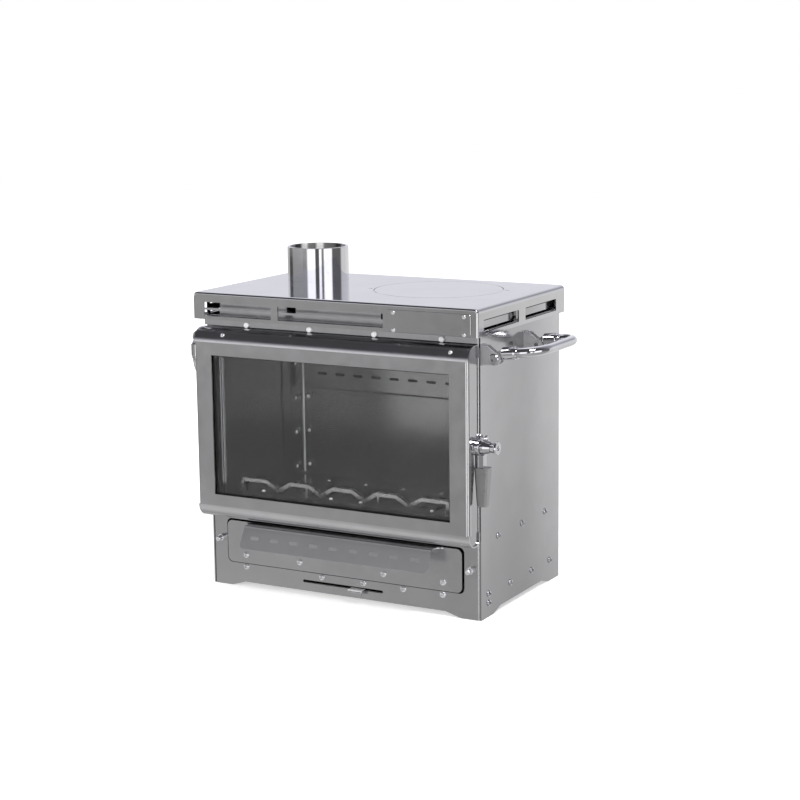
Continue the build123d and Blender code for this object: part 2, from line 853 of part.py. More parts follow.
def make_drawer_runners():
    """Angles on the base plate that guide the ash tray."""
    inner = tray_half_width + 1.0
    floor = drawer_hole_bottom
    path = [(inner, floor + runner_height), (inner, floor), (inner + 14, floor)]
    profile = bent_strip(path, 2.0, liner_sheet, Side.LEFT)
    runner = sheet_y(profile, sheet + 6, body_depth - 2 * sheet - 14)
    return Compound(children=[runner, mirror(runner, about=Plane.YZ)])


def make_drawer_front():
    """Drawer front whose top edge is folded out into a slotted pull."""
    face = slot_face(drawer_left, drawer_right, drawer_bottom, drawer_top, drawer_corner)
    for x in drawer_screw_x:
        face -= Pos(x, drawer_screw_z) * Circle(screw_shank_radius + running_gap)
    plate = sheet_y(face, 0, sheet)
    nose_z = drawer_top - pull_nose_drop
    path = [(sheet / 2, drawer_top), (pull_nose_y, nose_z), (pull_lip_y, pull_lip_z)]
    profile = bent_strip(path, 5.0, pull_sheet, Side.LEFT)
    pull = sheet_x(profile, -pull_half_width, 2 * pull_half_width)
    slope = math.degrees(math.atan2(nose_z - pull_lip_z, pull_nose_y - pull_lip_y))
    middle_y = (pull_nose_y + pull_lip_y) / 2
    middle_z = (nose_z + pull_lip_z) / 2
    slots = Sketch()
    for index in range(pull_slots):
        x = (index - (pull_slots - 1) / 2) * pull_slot_pitch
        slots += Pos(x, 0) * obround(pull_slot_length, pull_slot_width)
    plane = Plane((0, middle_y, middle_z), x_dir=(1, 0, 0),
                  z_dir=(0, -math.sin(math.radians(slope)), math.cos(math.radians(slope))))
    pull -= extrude(plane * slots, amount=6, both=True)
    lip_reach = math.hypot(pull_nose_y - pull_lip_y, nose_z - pull_lip_z) / 2
    for side in (-1, 1):
        corner = Pos(side * (pull_half_width - pull_corner / 2), pull_corner / 2 - lip_reach) * Rectangle(
            pull_corner, pull_corner)
        corner -= Pos(side * (pull_half_width - pull_corner), pull_corner - lip_reach) * Circle(pull_corner)
        pull -= extrude(plane * corner, amount=6, both=True)
        pull += pull_flare(side)
    return plate + pull


def pull_flare(side):
    """The curved root where the pull's end runs into the drawer front's top edge."""
    flare = Pos(side * (pull_half_width + pull_root / 2), -pull_root / 2) * Rectangle(pull_root, pull_root)
    flare -= Pos(side * (pull_half_width + pull_root), -pull_root) * Circle(pull_root)
    return sheet_z(flare, drawer_top - sheet, pull_sheet)


def make_drawer_screws():
    screw = button_screw(screw_head_radius, screw_head_height, screw_shank_radius, sheet + 1.0)
    return Compound(children=[facing((0, -1, 0), x, 0, drawer_screw_z) * screw for x in drawer_screw_x])


def make_ash_tray():
    """Folded open tray behind the drawer front."""
    floor = drawer_hole_bottom + tray_lift
    tray = folded_pan(-tray_half_width, tray_half_width, sheet, sheet + tray_depth, 0,
                      tray_height, liner_sheet, 1.5)
    tray = Pos(0, 0, floor) * mirror(tray, about=Plane.XY)
    for x in drawer_screw_x:
        tray -= cylinder_y(x, drawer_screw_z, sheet - 1, sheet + 4, screw_shank_radius + running_gap)
    return tray


def make_air_box():
    """Channel behind the slot that leads the air up, open at both ends for the slider."""
    foot = slider_bottom - 2 * fit_gap - guide_sheet
    back = sheet + air_box_depth
    path = [(sheet, foot), (back, foot), (back, drawer_hole_bottom - sheet - fit_gap)]
    profile = make_face(offset(Polyline(*path), amount=guide_sheet, side=Side.RIGHT))
    return sheet_x(profile, -air_box_half_width, 2 * air_box_half_width)


def make_slider_guides():
    """The air box, and two folded keepers that hold the slider against the front panel."""
    back = sheet + fit_gap + slider_sheet + fit_gap
    foot = slider_bottom - fit_gap
    path = [(sheet, foot), (back, foot), (back, drawer_hole_bottom - base_flange - fit_gap)]
    profile = make_face(offset(Polyline(*path), amount=guide_sheet, side=Side.RIGHT))
    guides = [make_air_box()]
    for side in (-1, 1):
        x = side * (slider_slot_half + guide_offset)
        guides.append(sheet_x(profile, x - guide_width / 2, guide_width))
    return Compound(children=guides)


def make_air_slider():
    """Slider behind the front panel, with a tab folded out through the slot and down."""
    back = sheet + fit_gap
    face = slot_face(-slider_half_width, slider_half_width, slider_bottom, slider_top, 2)
    for index in range(4):
        face -= Pos((index - 1.5) * 34, slider_top - slider_hole_drop) * obround(20, 4)
    bottom = slider_slot_z - slider_slot_height / 2 + fit_gap
    face += slot_face(tab_centre - tab_width / 2, tab_centre + tab_width / 2, slider_top - 1,
                      bottom + slider_sheet)
    plate = sheet_y(face, back, slider_sheet)
    lip = slider_sheet - tab_reach
    path = [(back + fit_gap, bottom), (lip, bottom), (lip, bottom - tab_drop)]
    profile = bent_strip(path, 2.0, slider_sheet, Side.RIGHT)
    tab = sheet_x(profile, tab_centre - tab_width / 2, tab_width)
    return plate + tab


def door_path(inset):
    """The door's section in Y and Z, from the upper return to the lower one."""
    back = door_back - inset
    front = door_front + inset
    top = door_top - inset
    bottom = door_bottom + inset
    return [(back, top - door_return), (back, top), (front, top), (front, bottom),
            (back, bottom), (back, bottom + door_return)]


def make_door_shell():
    """Front sheet of the door, rolled at the top and bottom and returned at the back."""
    radii = [door_back_roll, door_front_roll, door_front_roll, door_back_roll]
    profile = bent_strip(door_path(0), radii, sheet, Side.LEFT)
    shell = sheet_x(profile, -door_half_width, 2 * door_half_width)
    low = door_bottom + door_front_roll
    high = door_top - door_front_roll
    for side in (-1, 1):
        edge = side * (door_half_width - door_edge_depth / 2)
        shell -= Pos(edge, door_front, (low + high) / 2) * Box(door_edge_depth, 4 * sheet, high - low)
        shell += door_edge(side, low, high)
    window = slot_face(-glass_window_half, glass_window_half, glass_window_bottom, glass_window_top)
    return shell - sheet_y(window, door_front - 5, 15)


def door_edge(side, low, high):
    """The front sheet's vertical edge, bent back beside the end plate."""
    path = [(door_half_width - door_edge_depth, door_front), (door_half_width, door_front),
            (door_half_width, door_front + door_edge_depth)]
    edge = sheet_z(bent_strip(path, door_edge_bend + sheet, sheet, Side.LEFT), low, high - low)
    return edge if side > 0 else mirror(edge, about=Plane.YZ)


def side_plate_outline():
    gap = sheet + fit_gap
    front_gap = gap + door_edge_bend
    points = [(door_back - gap, door_top - gap), (door_front + front_gap, door_top - gap),
              (door_front + front_gap, door_bottom + gap), (door_back - gap, door_bottom + gap)]
    face = outline(points)
    front = face.vertices().group_by(Axis.X)[0]
    face = fillet(front, door_front_roll - front_gap)
    back = face.vertices().group_by(Axis.X)[-1]
    return fillet(back, door_back_roll - gap)


def make_door_side_plates():
    """End plates of the door, set inside the rolls, each with a flange behind."""
    outer = door_half_width - side_plate_inset
    plate = sheet_x(side_plate_outline(), outer - sheet, sheet)
    flange = block(outer - 20, outer, door_back - sheet, door_back,
                   door_bottom + door_return + fit_gap, door_top - door_return - fit_gap)
    web = block(outer - sheet, outer, door_back - sheet - 3, door_back,
                door_bottom + door_return + fit_gap, door_top - door_return - fit_gap)
    plate += web + flange
    return Compound(children=[plate, mirror(plate, about=Plane.YZ)])


def glass_outline(grow):
    return slot_face(-glass_window_half - grow, glass_window_half + grow,
                     glass_window_bottom - grow, glass_window_top + grow)


def make_glass_gasket():
    ring = glass_outline(glass_overlap) - glass_outline(2.0)
    return sheet_y(ring, door_front + sheet, gasket_thickness)


def make_door_glass():
    return sheet_y(glass_outline(glass_overlap), door_front + sheet + gasket_thickness, glass_thickness)


def retainer_y():
    return door_front + sheet + gasket_thickness + glass_thickness


def make_glass_retainer():
    """Flat frame that holds the glass against its gasket."""
    ring = glass_outline(retainer_width) - glass_outline(-2.0)
    clear = retainer_stud_radius + running_gap
    ring -= Sketch() + [Pos(x, z) * Circle(clear) for x, z in glass_screw_places()]
    return sheet_y(ring, retainer_y(), retainer_sheet)


def glass_screw_places():
    reach = glass_overlap + 4.0
    x_side = glass_window_half + reach
    low = glass_window_bottom - reach
    high = glass_window_top + reach
    middle = (low + high) / 2
    inset = glass_window_half - retainer_screw_inset
    places = [(x, z) for x in (-inset, 0, inset) for z in (low, high)]
    places += [(side * x_side, middle + step * retainer_screw_z) for side in (-1, 1) for step in (-1, 1)]
    return places


def make_glass_screws():
    """Studs from the door's front sheet through the retainer, each with its nut."""
    start = door_front + sheet
    end = retainer_y() + retainer_sheet
    pieces = []
    for x, z in glass_screw_places():
        stud = cylinder_y(x, z, start, end + retainer_nut_height / 2, retainer_stud_radius)
        nut = sheet_y(Pos(x, z) * RegularPolygon(retainer_nut_radius, 6), end, retainer_nut_height)
        pieces.append(stud + nut)
    return Compound(children=pieces)


def make_door_seal():
    """Flat tape around the fire opening, between the door's returns and the front panel."""
    top = door_top - door_back_roll - 0.5
    bottom = door_bottom + door_back_roll + 0.5
    half = door_half_width - 10.5
    outer = slot_face(-half, half, bottom, top, 6)
    inner = slot_face(-half + seal_width, half - seal_width, bottom + seal_width, top - seal_width, 2)
    return sheet_y(outer - inner, door_back, seal_thickness)


def make_door_screws():
    """Two small screws on the upper roll of the door."""
    screw = button_screw(small_head_radius + 0.4, small_head_height)
    angle = math.radians(roll_screw_angle)
    outward = (0, -math.sin(angle), math.cos(angle))
    y = door_front + door_front_roll * (1 - math.sin(angle))
    z = door_top - door_front_roll * (1 - math.cos(angle))
    return Compound(children=[facing(outward, x, y, z) * screw for x in roll_screw_x])


def knuckle(z0, z1):
    return cylinder_z(hinge_x, hinge_y, z0, z1, hinge_barrel_radius)


def make_body_hinges():
    """Leaves on the left side panel, each with the lower knuckle of a lift-off hinge."""
    leaves = []
    for z in hinge_z:
        z0 = z - hinge_half_height
        z1 = z - fit_gap
        wall = -body_half_width
        leaf = block(wall - sheet, wall, hinge_y, hinge_leaf_depth, z0, z1)
        leaf = fillet(leaf.edges().filter_by(Axis.X).group_by(Axis.Y)[-1], 4)
        leaf += knuckle(z0, z1)
        leaf += block(hinge_x, wall - sheet, hinge_y, hinge_y + 3, z0, z1)
        leaf -= cylinder_z(hinge_x, hinge_y, z0 - 1, z1 + 1, hinge_pin_radius + running_gap)
        leaves.append(leaf)
    return Compound(children=leaves)


def make_door_hinges():
    """Leaves on the door's left end plate, each with the upper knuckle."""
    leaves = []
    for z in hinge_z:
        z0 = z + fit_gap
        z1 = z + hinge_half_height
        face = -(door_half_width - side_plate_inset)
        leaf = block(face - sheet, face, hinge_y - hinge_leaf_depth, hinge_y - 1.2, z0, z1)
        leaf = fillet(leaf.edges().filter_by(Axis.X).group_by(Axis.Y)[0], 4)
        leaf += knuckle(z0, z1)
        leaf += block(hinge_x, face - sheet / 2, hinge_y - 3.5, hinge_y - 1.2, z0, z1)
        leaf -= cylinder_z(hinge_x, hinge_y, z0 - 1, z1 - 2, hinge_pin_radius + running_gap)
        leaves.append(leaf)
    return Compound(children=leaves)


def make_hinge_pins():
    pins = []
    for z in hinge_z:
        pin = cylinder_z(hinge_x, hinge_y, z - hinge_half_height, z + hinge_half_height - 3,
                         hinge_pin_radius)
        pins.append(chamfer(pin.edges().group_by(Axis.Z)[-1], 0.6))
    return Compound(children=pins)


def latch_face():
    """The X of the door's right end plate, which the latch stands on."""
    return door_half_width - side_plate_inset


def make_latch_spindle():
    """Fixed spindle on the door's end plate, with its base and flared end cap."""
    x0 = latch_face()
    x1 = x0 + latch_flange_thickness
    x2 = x1 + latch_gap + latch_hub_length + latch_gap + sleeve_length + latch_gap
    base = cylinder_x(latch_y, latch_z, x0, x1, latch_hub_radius)
    base = fillet(base.edges().group_by(Axis.X)[-1], 0.8)
    shaft = cylinder_x(latch_y, latch_z, x0, x2 + 1, spindle_radius)
    points = [(x2, 0), (x2, cap_neck_radius), (x2 + cap_length * 0.55, cap_neck_radius + 0.6),
              (x2 + cap_length * 0.8, cap_end_radius), (x2 + cap_length, cap_end_radius - 0.6),
              (x2 + cap_length, 0)]
    cap = revolve(outline(points), Axis.X)
    socket = Plane((x2 + cap_length, 0, 0), z_dir=(1, 0, 0)) * RegularPolygon(3.4, 6)
    cap -= extrude(socket, amount=-3.5)
    return base + shaft + Pos(0, latch_y, latch_z) * cap


def hub_start():
    return latch_face() + latch_flange_thickness + latch_gap


def make_latch_lever():
    """Hub with the hook that holds the keeper, and the neck that carries the grip."""
    x0 = hub_start()
    hub = cylinder_x(latch_y, latch_z, x0, x0 + latch_hub_length, latch_hub_radius)
    hub = fillet(hub.edges().group_by(Axis.X)[-1], 1.2)
    reach_y = keeper_y - latch_y
    reach_z = keeper_z - latch_z
    reach = math.hypot(reach_y, reach_z)
    bearing = math.degrees(math.atan2(reach_z, reach_y))
    outer = reach + hook_slot + hook_finger
    sector = sector_face(0, outer, -38, 22)
    stop = bearing - math.degrees(hook_slot / reach)
    track = sector_face(reach - hook_slot, reach + hook_slot, bearing, 60)
    seat = Pos(reach_y, reach_z) * Circle(hook_slot)
    hook_face = sector - track - seat
    tip = sector_face(reach + hook_slot, outer, stop, 24)
    hook = sheet_x(Pos(latch_y, latch_z) * (hook_face + tip), x0 + 1.2, hook_thickness)
    neck_y = latch_y - 0.5
    front = neck_y - neck_depth / 2
    back = neck_y + neck_depth / 2
    shoulder = latch_z - sleeve_radius - latch_gap
    neck = block(x0, x0 + latch_hub_length - 1.5, front, back, grip_top, latch_z)
    neck += block(x0, x0 + neck_width, front, back, grip_top, shoulder)
    lever = hub + hook + neck
    bore = cylinder_x(latch_y, latch_z, x0 - 5, x0 + 20, spindle_radius + running_gap)
    return lever - bore


def sector_face(inner, outer, start, end):
    """A ring sector about the origin, between two angles in degrees."""
    size = (end - start) % 360
    arc_out = CenterArc((0, 0), outer, start, size)
    if inner <= 0:
        lines = Line((0, 0), arc_out @ 0) + arc_out + Line(arc_out @ 1, (0, 0))
    else:
        arc_in = CenterArc((0, 0), inner, start, size)
        lines = Line(arc_in @ 0, arc_out @ 0) + arc_out + Line(arc_out @ 1, arc_in @ 1) + arc_in
    return make_face(lines)


def make_latch_grip():
    """Tapered block with bevelled corners, below the neck."""
    x = hub_start() + grip_top_width / 2 - 0.8
    y = latch_y - 0.5
    top = Pos(x, y, grip_top - fit_gap) * Rectangle(grip_top_width, grip_top_depth)
    bottom = Pos(x - 0.6, y, grip_bottom) * Rectangle(grip_bottom_width, grip_bottom_depth)
    grip = loft([bottom.face(), top.face()])
    corners = grip.edges().filter_by(lambda edge_: abs(edge_.center().Z - (grip_top + grip_bottom) / 2) < 5)
    return chamfer(corners, grip_chamfer)


def make_latch_sleeve():
    """Tapered sleeve on the spindle, outside the hub."""
    x0 = hub_start() + latch_hub_length + latch_gap
    x1 = x0 + sleeve_length
    inner = spindle_radius + running_gap
    points = [(x0, inner), (x0, sleeve_radius - 0.8), (x0 + 0.8, sleeve_radius),
              (x0 + 4.5, sleeve_radius - 0.4), (x1, sleeve_end_radius), (x1, inner)]
    return Pos(0, latch_y, latch_z) * revolve(outline(points), Axis.X)


def make_latch_keeper():
    """Headed stud on the body that the hook closes behind."""
    x0 = body_half_width
    x1 = hub_start() + 1.2 + hook_thickness + 1.0
    shaft = cylinder_x(keeper_y, keeper_z, x0, x1 + 0.5, keeper_radius)
    head = cylinder_x(keeper_y, keeper_z, x1, x1 + 2.4, keeper_head_radius)
    head = fillet(head.edges().group_by(Axis.X)[-1], 1.0)
    return shaft + head


def pivot_places():
    return [pivot_y, pivot_y + handle_span]


def make_bracket(side, y):
    """Wall plate with two ears, bored for the handle's pin."""
    wall = side * body_half_width
    inner = tongue_half + ear_gap
    outer = inner + ear_thickness
    low = pivot_z + bracket_low
    high = pivot_z + bracket_high
    start = wall if side > 0 else wall - bracket_plate
    bracket = sheet_x(slot_face(y - outer, y + outer, low, high, 1.5), start, bracket_plate)
    x_pin = side * (body_half_width + pivot_out)
    web = outline([(wall, low + 1.5), (x_pin, pivot_z - ear_radius), (x_pin, pivot_z + ear_radius),
                   (wall + side * 8, high - 1.5), (wall, high - 1.5)])
    ear_face = web + Pos(x_pin, pivot_z) * Circle(ear_radius)
    for offset_y in (-outer, inner):
        bracket += sheet_y(ear_face, y + offset_y, ear_thickness)
    return bracket - cylinder_y(x_pin, pivot_z, y - outer - 1, y + outer + 1,
                                handle_pin_radius + running_gap)


def make_handle_brackets():
    return Compound(children=[make_bracket(side, y) for side in (-1, 1) for y in pivot_places()])


def make_handle_pins():
    """Headed pins, with their heads away from the middle of the handle."""
    outer = tongue_half + ear_gap + ear_thickness
    pins = []
    for side in (-1, 1):
        for y, way in zip(pivot_places(), (-1, 1)):
            x = side * (body_half_width + pivot_out)
            pin = cylinder_y(x, pivot_z, y - outer, y + outer, handle_pin_radius)
            head_y = y - outer - handle_pin_head_thickness if way < 0 else y + outer
            head = cylinder_y(x, pivot_z, head_y, head_y + handle_pin_head_thickness, handle_pin_head)
            end = 0 if way < 0 else -1
            rim = head.edges().group_by(Axis.Y)[end]
            head = chamfer(rim, handle_pin_head_thickness / 3)
            socket = Pos(x, pivot_z) * RegularPolygon(handle_pin_socket, 6)
            head -= sheet_y(socket, head_y + way * handle_pin_head_thickness / 2, handle_pin_head_thickness)
            pins.append(pin + head)
    return Compound(children=pins)


def bail_route():
    """The bail's centre line in its own plane: out, along and back."""
    start = ferrule_start + 4.0
    rise = handle_rise
    return FilletPolyline((start, 0, rise), (handle_reach, 0, rise), (handle_reach, handle_span, rise),
                          (start, handle_span, rise), radius=handle_bend)


def bail_place(side):
    """Where the bail's plane lies: raised on the right, hanging on the left."""
    angle = handle_tilt if side > 0 else -90.0
    return Pos(body_half_width + pivot_out, pivot_y, pivot_z) * Rot(0, -angle, 0)


def seat_bail(part, side):
    placed = bail_place(side) * part
    return placed if side > 0 else mirror(placed, about=Plane.YZ)


def make_bail(side):
    """Bent tube that turns down flat against the wall."""
    route = bail_route()
    start = Plane(origin=route @ 0, z_dir=route % 0)
    tube = sweep(start * Circle(handle_tube_radius), path=route)
    return seat_bail(tube, side)


def make_ferrules(side):
    """Ferrules on the bail's ends, each with a flat tongue bored for its pin."""
    inner = handle_tube_radius + ferrule_wall_gap
    pieces = []
    for y in (0, handle_span):
        points = [(ferrule_start, 0), (ferrule_start, ferrule_radius - 1.5),
                  (ferrule_start + 1.5, ferrule_radius), (ferrule_start + ferrule_length - 4, ferrule_radius),
                  (ferrule_start + ferrule_length - 3, ferrule_radius - 1.0),
                  (ferrule_start + ferrule_length, ferrule_radius - 1.0),
                  (ferrule_start + ferrule_length, inner), (ferrule_start + 4.0, inner),
                  (ferrule_start + 4.0, 0)]
        cup = Pos(0, 0, handle_rise) * revolve(outline(points), Axis.X)
        eye = ear_radius - 2.0
        tongue_face = outline([(0, -eye), (ferrule_start + 1, handle_rise - eye),
                               (ferrule_start + 1, handle_rise + eye), (0, eye)]) + Circle(eye)
        tongue = sheet_y(tongue_face, -tongue_half, 2 * tongue_half)
        piece = cup + tongue
        piece -= cylinder_y(0, 0, -tongue_half - 1, tongue_half + 1, handle_pin_radius + running_gap)
        pieces.append(Pos(0, y, 0) * piece)
    return seat_bail(Compound(children=pieces), side)


def all_parts():
    """Every node by name, in the working frame."""
    return {
        "front_panel": make_front_panel(),
        "side_panel_left": make_side_panel(-1),
        "side_panel_right": make_side_panel(1),
        "rear_panel": make_rear_panel(),
        "base_plate": make_base_plate(),
        "firebox_floor": make_firebox_floor(),
        "firebox_deck": make_firebox_deck(),
        "grate": make_grate(),
        "liner_left": make_side_liner(-1),
        "liner_right": make_side_liner(1),
        "liner_rear": make_rear_liner(),
        "corner_angles": make_corner_angles(),
        "liner_screws": make_liner_screws(),
        "air_duct": make_air_duct(),
        "baffle_plate": make_baffle(),
        "baffle_brackets": make_baffle_brackets(),
        "opening_frame": make_opening_frame(),
        "log_guard": make_log_guard(),
        "header_strip": make_header_strip(),
        "header_studs": make_header_studs(),
        "hood_shell": make_hood(),
        "hood_vent_bars": make_vent_bars(),
        "nameplate": make_nameplate(),
        "nameplate_screws": make_nameplate_screws(),
        "flue_collar": make_flue_collar(),
        "flue_flanges": make_flue_flanges(),
        "cook_sleeve": make_cook_sleeve(),
        "cook_plate": make_cook_plate(),
        "front_studs": make_front_studs(),
        "front_screws": make_front_screws(),
        "side_screws": make_side_screws(),
        "rear_screws": make_rear_screws(),
        "drawer_runners": make_drawer_runners(),
        "drawer_front": make_drawer_front(),
        "drawer_screws": make_drawer_screws(),
        "ash_tray": make_ash_tray(),
        "slider_guides": make_slider_guides(),
        "air_slider": make_air_slider(),
        "door_shell": make_door_shell(),
        "door_side_plates": make_door_side_plates(),
        "glass_gasket": make_glass_gasket(),
        "door_glass": make_door_glass(),
        "glass_retainer": make_glass_retainer(),
        "glass_screws": make_glass_screws(),
        "door_seal": make_door_seal(),
        "door_screws": make_door_screws(),
        "hinge_leaves_body": make_body_hinges(),
        "hinge_leaves_door": make_door_hinges(),
        "hinge_pins": make_hinge_pins(),
        "latch_spindle": make_latch_spindle(),
        "latch_lever": make_latch_lever(),
        "latch_grip": make_latch_grip(),
        "latch_sleeve": make_latch_sleeve(),
        "latch_keeper": make_latch_keeper(),
        "handle_brackets": make_handle_brackets(),
        "handle_pins": make_handle_pins(),
        "handle_bail_right": make_bail(1),
        "handle_bail_left": make_bail(-1),
        "ferrules_right": make_ferrules(1),
        "ferrules_left": make_ferrules(-1),
    }


def middle_of_box(parts):
    """The X and Y of the middle of the box round all the parts, and its lowest Z."""
    boxes = [part.bounding_box() for part in parts]
    x = (min(box.min.X for box in boxes) + max(box.max.X for box in boxes)) / 2
    y = (min(box.min.Y for box in boxes) + max(box.max.Y for box in boxes)) / 2
    z = min(box.min.Z for box in boxes)
    return x, y, z


def main():
    parts = all_parts()
    x, y, z = middle_of_box(parts.values())
    to_origin = Pos(-x, -y, -z)
    print("moved by", -x, -y, -z)
    os.makedirs("parts", exist_ok=True)
    for name, part in parts.items():
        placed = Compound([to_origin * solid for solid in part.solids()])
        export_step(placed, f"parts/{name}.step")


main()
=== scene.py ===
"""Looks of the tent wood stove: finishes, glass, screw heads, beads, duct slots, floor, light and camera.

Everything is in metres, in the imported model's frame. Sizes given in millimetres are turned into metres by MM.
"""

import math

import bmesh
import bpy
from mathutils import Matrix, Vector


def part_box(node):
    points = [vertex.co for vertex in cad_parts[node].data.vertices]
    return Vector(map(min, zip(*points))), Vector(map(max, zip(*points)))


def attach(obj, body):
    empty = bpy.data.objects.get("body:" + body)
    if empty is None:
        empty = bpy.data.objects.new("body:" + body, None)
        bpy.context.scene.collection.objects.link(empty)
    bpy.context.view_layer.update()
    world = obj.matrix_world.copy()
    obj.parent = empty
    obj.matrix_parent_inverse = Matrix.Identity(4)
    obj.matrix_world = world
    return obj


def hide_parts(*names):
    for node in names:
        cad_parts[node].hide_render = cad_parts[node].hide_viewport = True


MM = 0.001

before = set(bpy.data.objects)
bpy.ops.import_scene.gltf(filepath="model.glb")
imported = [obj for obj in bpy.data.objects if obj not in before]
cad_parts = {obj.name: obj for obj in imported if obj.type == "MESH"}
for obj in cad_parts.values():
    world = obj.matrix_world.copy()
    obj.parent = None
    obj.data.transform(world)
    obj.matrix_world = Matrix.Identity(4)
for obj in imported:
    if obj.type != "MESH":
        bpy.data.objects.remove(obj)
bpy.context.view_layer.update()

# The stove's own axes: X from the middle of the body, Y from the front panel's face, Z from the floor.
panel_low, panel_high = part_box("front_panel")
STOVE_ORIGIN = Vector(((panel_low.x + panel_high.x) / 2, panel_low.y, 0))


def at(x, y, z):
    """A place given in millimetres on the stove's own axes."""
    return STOVE_ORIGIN + Vector((x, y, z)) * MM


def link_object(name, data):
    """A new object in the scene, made of a mesh, a lamp or a camera."""
    made = bpy.data.objects.new(name, data)
    bpy.context.scene.collection.objects.link(made)
    return made


# Camera, as fitted to the photograph's body edges: degrees, and millimetres on the stove's own axes
CAMERA_AZIMUTH = 28.937
CAMERA_ELEVATION = 10.600
CAMERA_ROLL = -0.679
CAMERA_DISTANCE = 2776.55
CAMERA_TARGET = (3.878, 164.322, 257.132)
CAMERA_LENS = 86.657
CAMERA_SENSOR = 36.0

# How far the camera sees, in metres
CAMERA_REACH = 50


def make_camera():
    """The camera that took the photograph."""
    azimuth = math.radians(CAMERA_AZIMUTH)
    elevation = math.radians(CAMERA_ELEVATION)
    roll = math.radians(CAMERA_ROLL)
    back = Vector((math.sin(azimuth) * math.cos(elevation), -math.cos(azimuth) * math.cos(elevation),
                   math.sin(elevation)))
    right = (-back).cross(Vector((0, 0, 1))).normalized()
    up = back.cross(right)
    rolled_right = math.cos(roll) * right + math.sin(roll) * up
    rolled_up = math.cos(roll) * up - math.sin(roll) * right
    data = bpy.data.cameras.new("photo_camera")
    data.lens = CAMERA_LENS
    data.sensor_width = CAMERA_SENSOR
    data.clip_end = CAMERA_REACH
    camera = link_object("photo_camera", data)
    turn = Matrix((rolled_right, rolled_up, back)).transposed().to_4x4()
    camera.matrix_world = Matrix.Translation(at(*CAMERA_TARGET) + back * CAMERA_DISTANCE * MM) @ turn
    bpy.context.scene.camera = camera


# Nodes that the materials and the room are made of


def feed(links, socket, value):
    """Links a node's output to a socket, or sets the socket's own value."""
    if isinstance(value, bpy.types.NodeSocket):
        links.new(value, socket)
    else:
        socket.default_value = value


def math_node(nodes, links, operation, first, second=None):
    """The result of one operation on outputs or numbers."""
    node = nodes.new("ShaderNodeMath")
    node.operation = operation
    feed(links, node.inputs[0], first)
    if second is not None:
        feed(links, node.inputs[1], second)
    return node.outputs["Value"]


def mix_colours(nodes, links, factor, first, second, blend="MIX"):
    """The first colour where the factor is 0, and the second blended with it where the factor is 1."""
    mixed = nodes.new("ShaderNodeMix")
    mixed.data_type = "RGBA"
    mixed.blend_type = blend
    feed(links, mixed.inputs["Factor"], factor)
    feed(links, mixed.inputs["A"], first)
    feed(links, mixed.inputs["B"], second)
    return mixed.outputs["Result"]


def map_range(nodes, links, value, source, target=(0.0, 1.0), smooth=False):
    """A value mapped from one range to another, and held at its ends."""
    mapped = nodes.new("ShaderNodeMapRange")
    if smooth:
        mapped.interpolation_type = "SMOOTHSTEP"
    for socket, limit in zip(("From Min", "From Max", "To Min", "To Max"), (*source, *target)):
        mapped.inputs[socket].default_value = limit
    links.new(value, mapped.inputs["Value"])
    return mapped.outputs["Result"]


def object_coordinates(nodes):
    return nodes.new("ShaderNodeTexCoord").outputs["Object"]


def split_axes(nodes, links, vector):
    """The X, Y and Z of a vector."""
    parts = nodes.new("ShaderNodeSeparateXYZ")
    links.new(vector, parts.inputs["Vector"])
    return parts.outputs


def noise(nodes, links, scale, detail=3.0, stretch=(1, 1, 1)):
    """A noise texture on object coordinates, stretched along the axes."""
    mapping = nodes.new("ShaderNodeMapping")
    mapping.inputs["Scale"].default_value = stretch
    texture = nodes.new("ShaderNodeTexNoise")
    texture.inputs["Scale"].default_value = scale
    texture.inputs["Detail"].default_value = detail
    links.new(object_coordinates(nodes), mapping.inputs["Vector"])
    links.new(mapping.outputs["Vector"], texture.inputs["Vector"])
    return texture.outputs["Fac"]


def two_tones(nodes, links, value, dark, light, ends=(0.0, 1.0)):
    """A colour that goes from dark to light as a value goes from one end to the other."""
    ramp = nodes.new("ShaderNodeValToRGB")
    for element, place, colour in zip(ramp.color_ramp.elements, ends, (dark, light)):
        element.position = place
        element.color = (*colour, 1)
    links.new(value, ramp.inputs["Fac"])
    return ramp.outputs["Color"]


def grey_levels(nodes, links, value, stops, interpolation="LINEAR"):
    """A grey that changes with a value, from pairs of the value and the grey's level."""
    ramp = nodes.new("ShaderNodeValToRGB")
    ramp.color_ramp.interpolation = interpolation
    elements = ramp.color_ramp.elements
    elements.remove(elements[-1])
    for index, (place, level) in enumerate(stops):
        element = elements[0] if index == 0 else elements.new(place)
        element.position = place
        element.color = (level, level, level, 1)
    links.new(value, ramp.inputs["Fac"])
    return ramp.outputs["Color"]


def bearing_share(nodes, links, x, y, middle):
    """The bearing from Y towards X as a share of a turn, which is 0.5 at the middle bearing, in degrees."""
    bearing = math_node(nodes, links, "ARCTAN2", x, y)
    turned = math_node(nodes, links, "SUBTRACT", bearing, math.radians(middle))
    share = math_node(nodes, links, "DIVIDE", turned, 2 * math.pi)
    return math_node(nodes, links, "FRACT", math_node(nodes, links, "ADD", share, 0.5))


def band_levels(nodes, links, share, bands):
    """A grey from levels at bearings in degrees, -180 to 180, by the share of a turn."""
    return grey_levels(nodes, links, share, [((bearing + 180) / 360, level) for bearing, level in bands])


def raise_surface(nodes, links, shader, height, strength, distance):
    """Gives the shader's surface a fine relief."""
    bump = nodes.new("ShaderNodeBump")
    bump.inputs["Strength"].default_value = strength
    bump.inputs["Distance"].default_value = distance
    links.new(height, bump.inputs["Height"])
    links.new(bump.outputs["Normal"], shader.inputs["Normal"])


def blend_base(nodes, links, shader, factor, colour, blend="MIX"):
    """Blends a colour with what feeds the shader's base colour."""
    socket = shader.inputs["Base Color"]
    source = socket.links[0].from_socket
    links.new(mix_colours(nodes, links, factor, source, colour, blend), socket)


# Materials

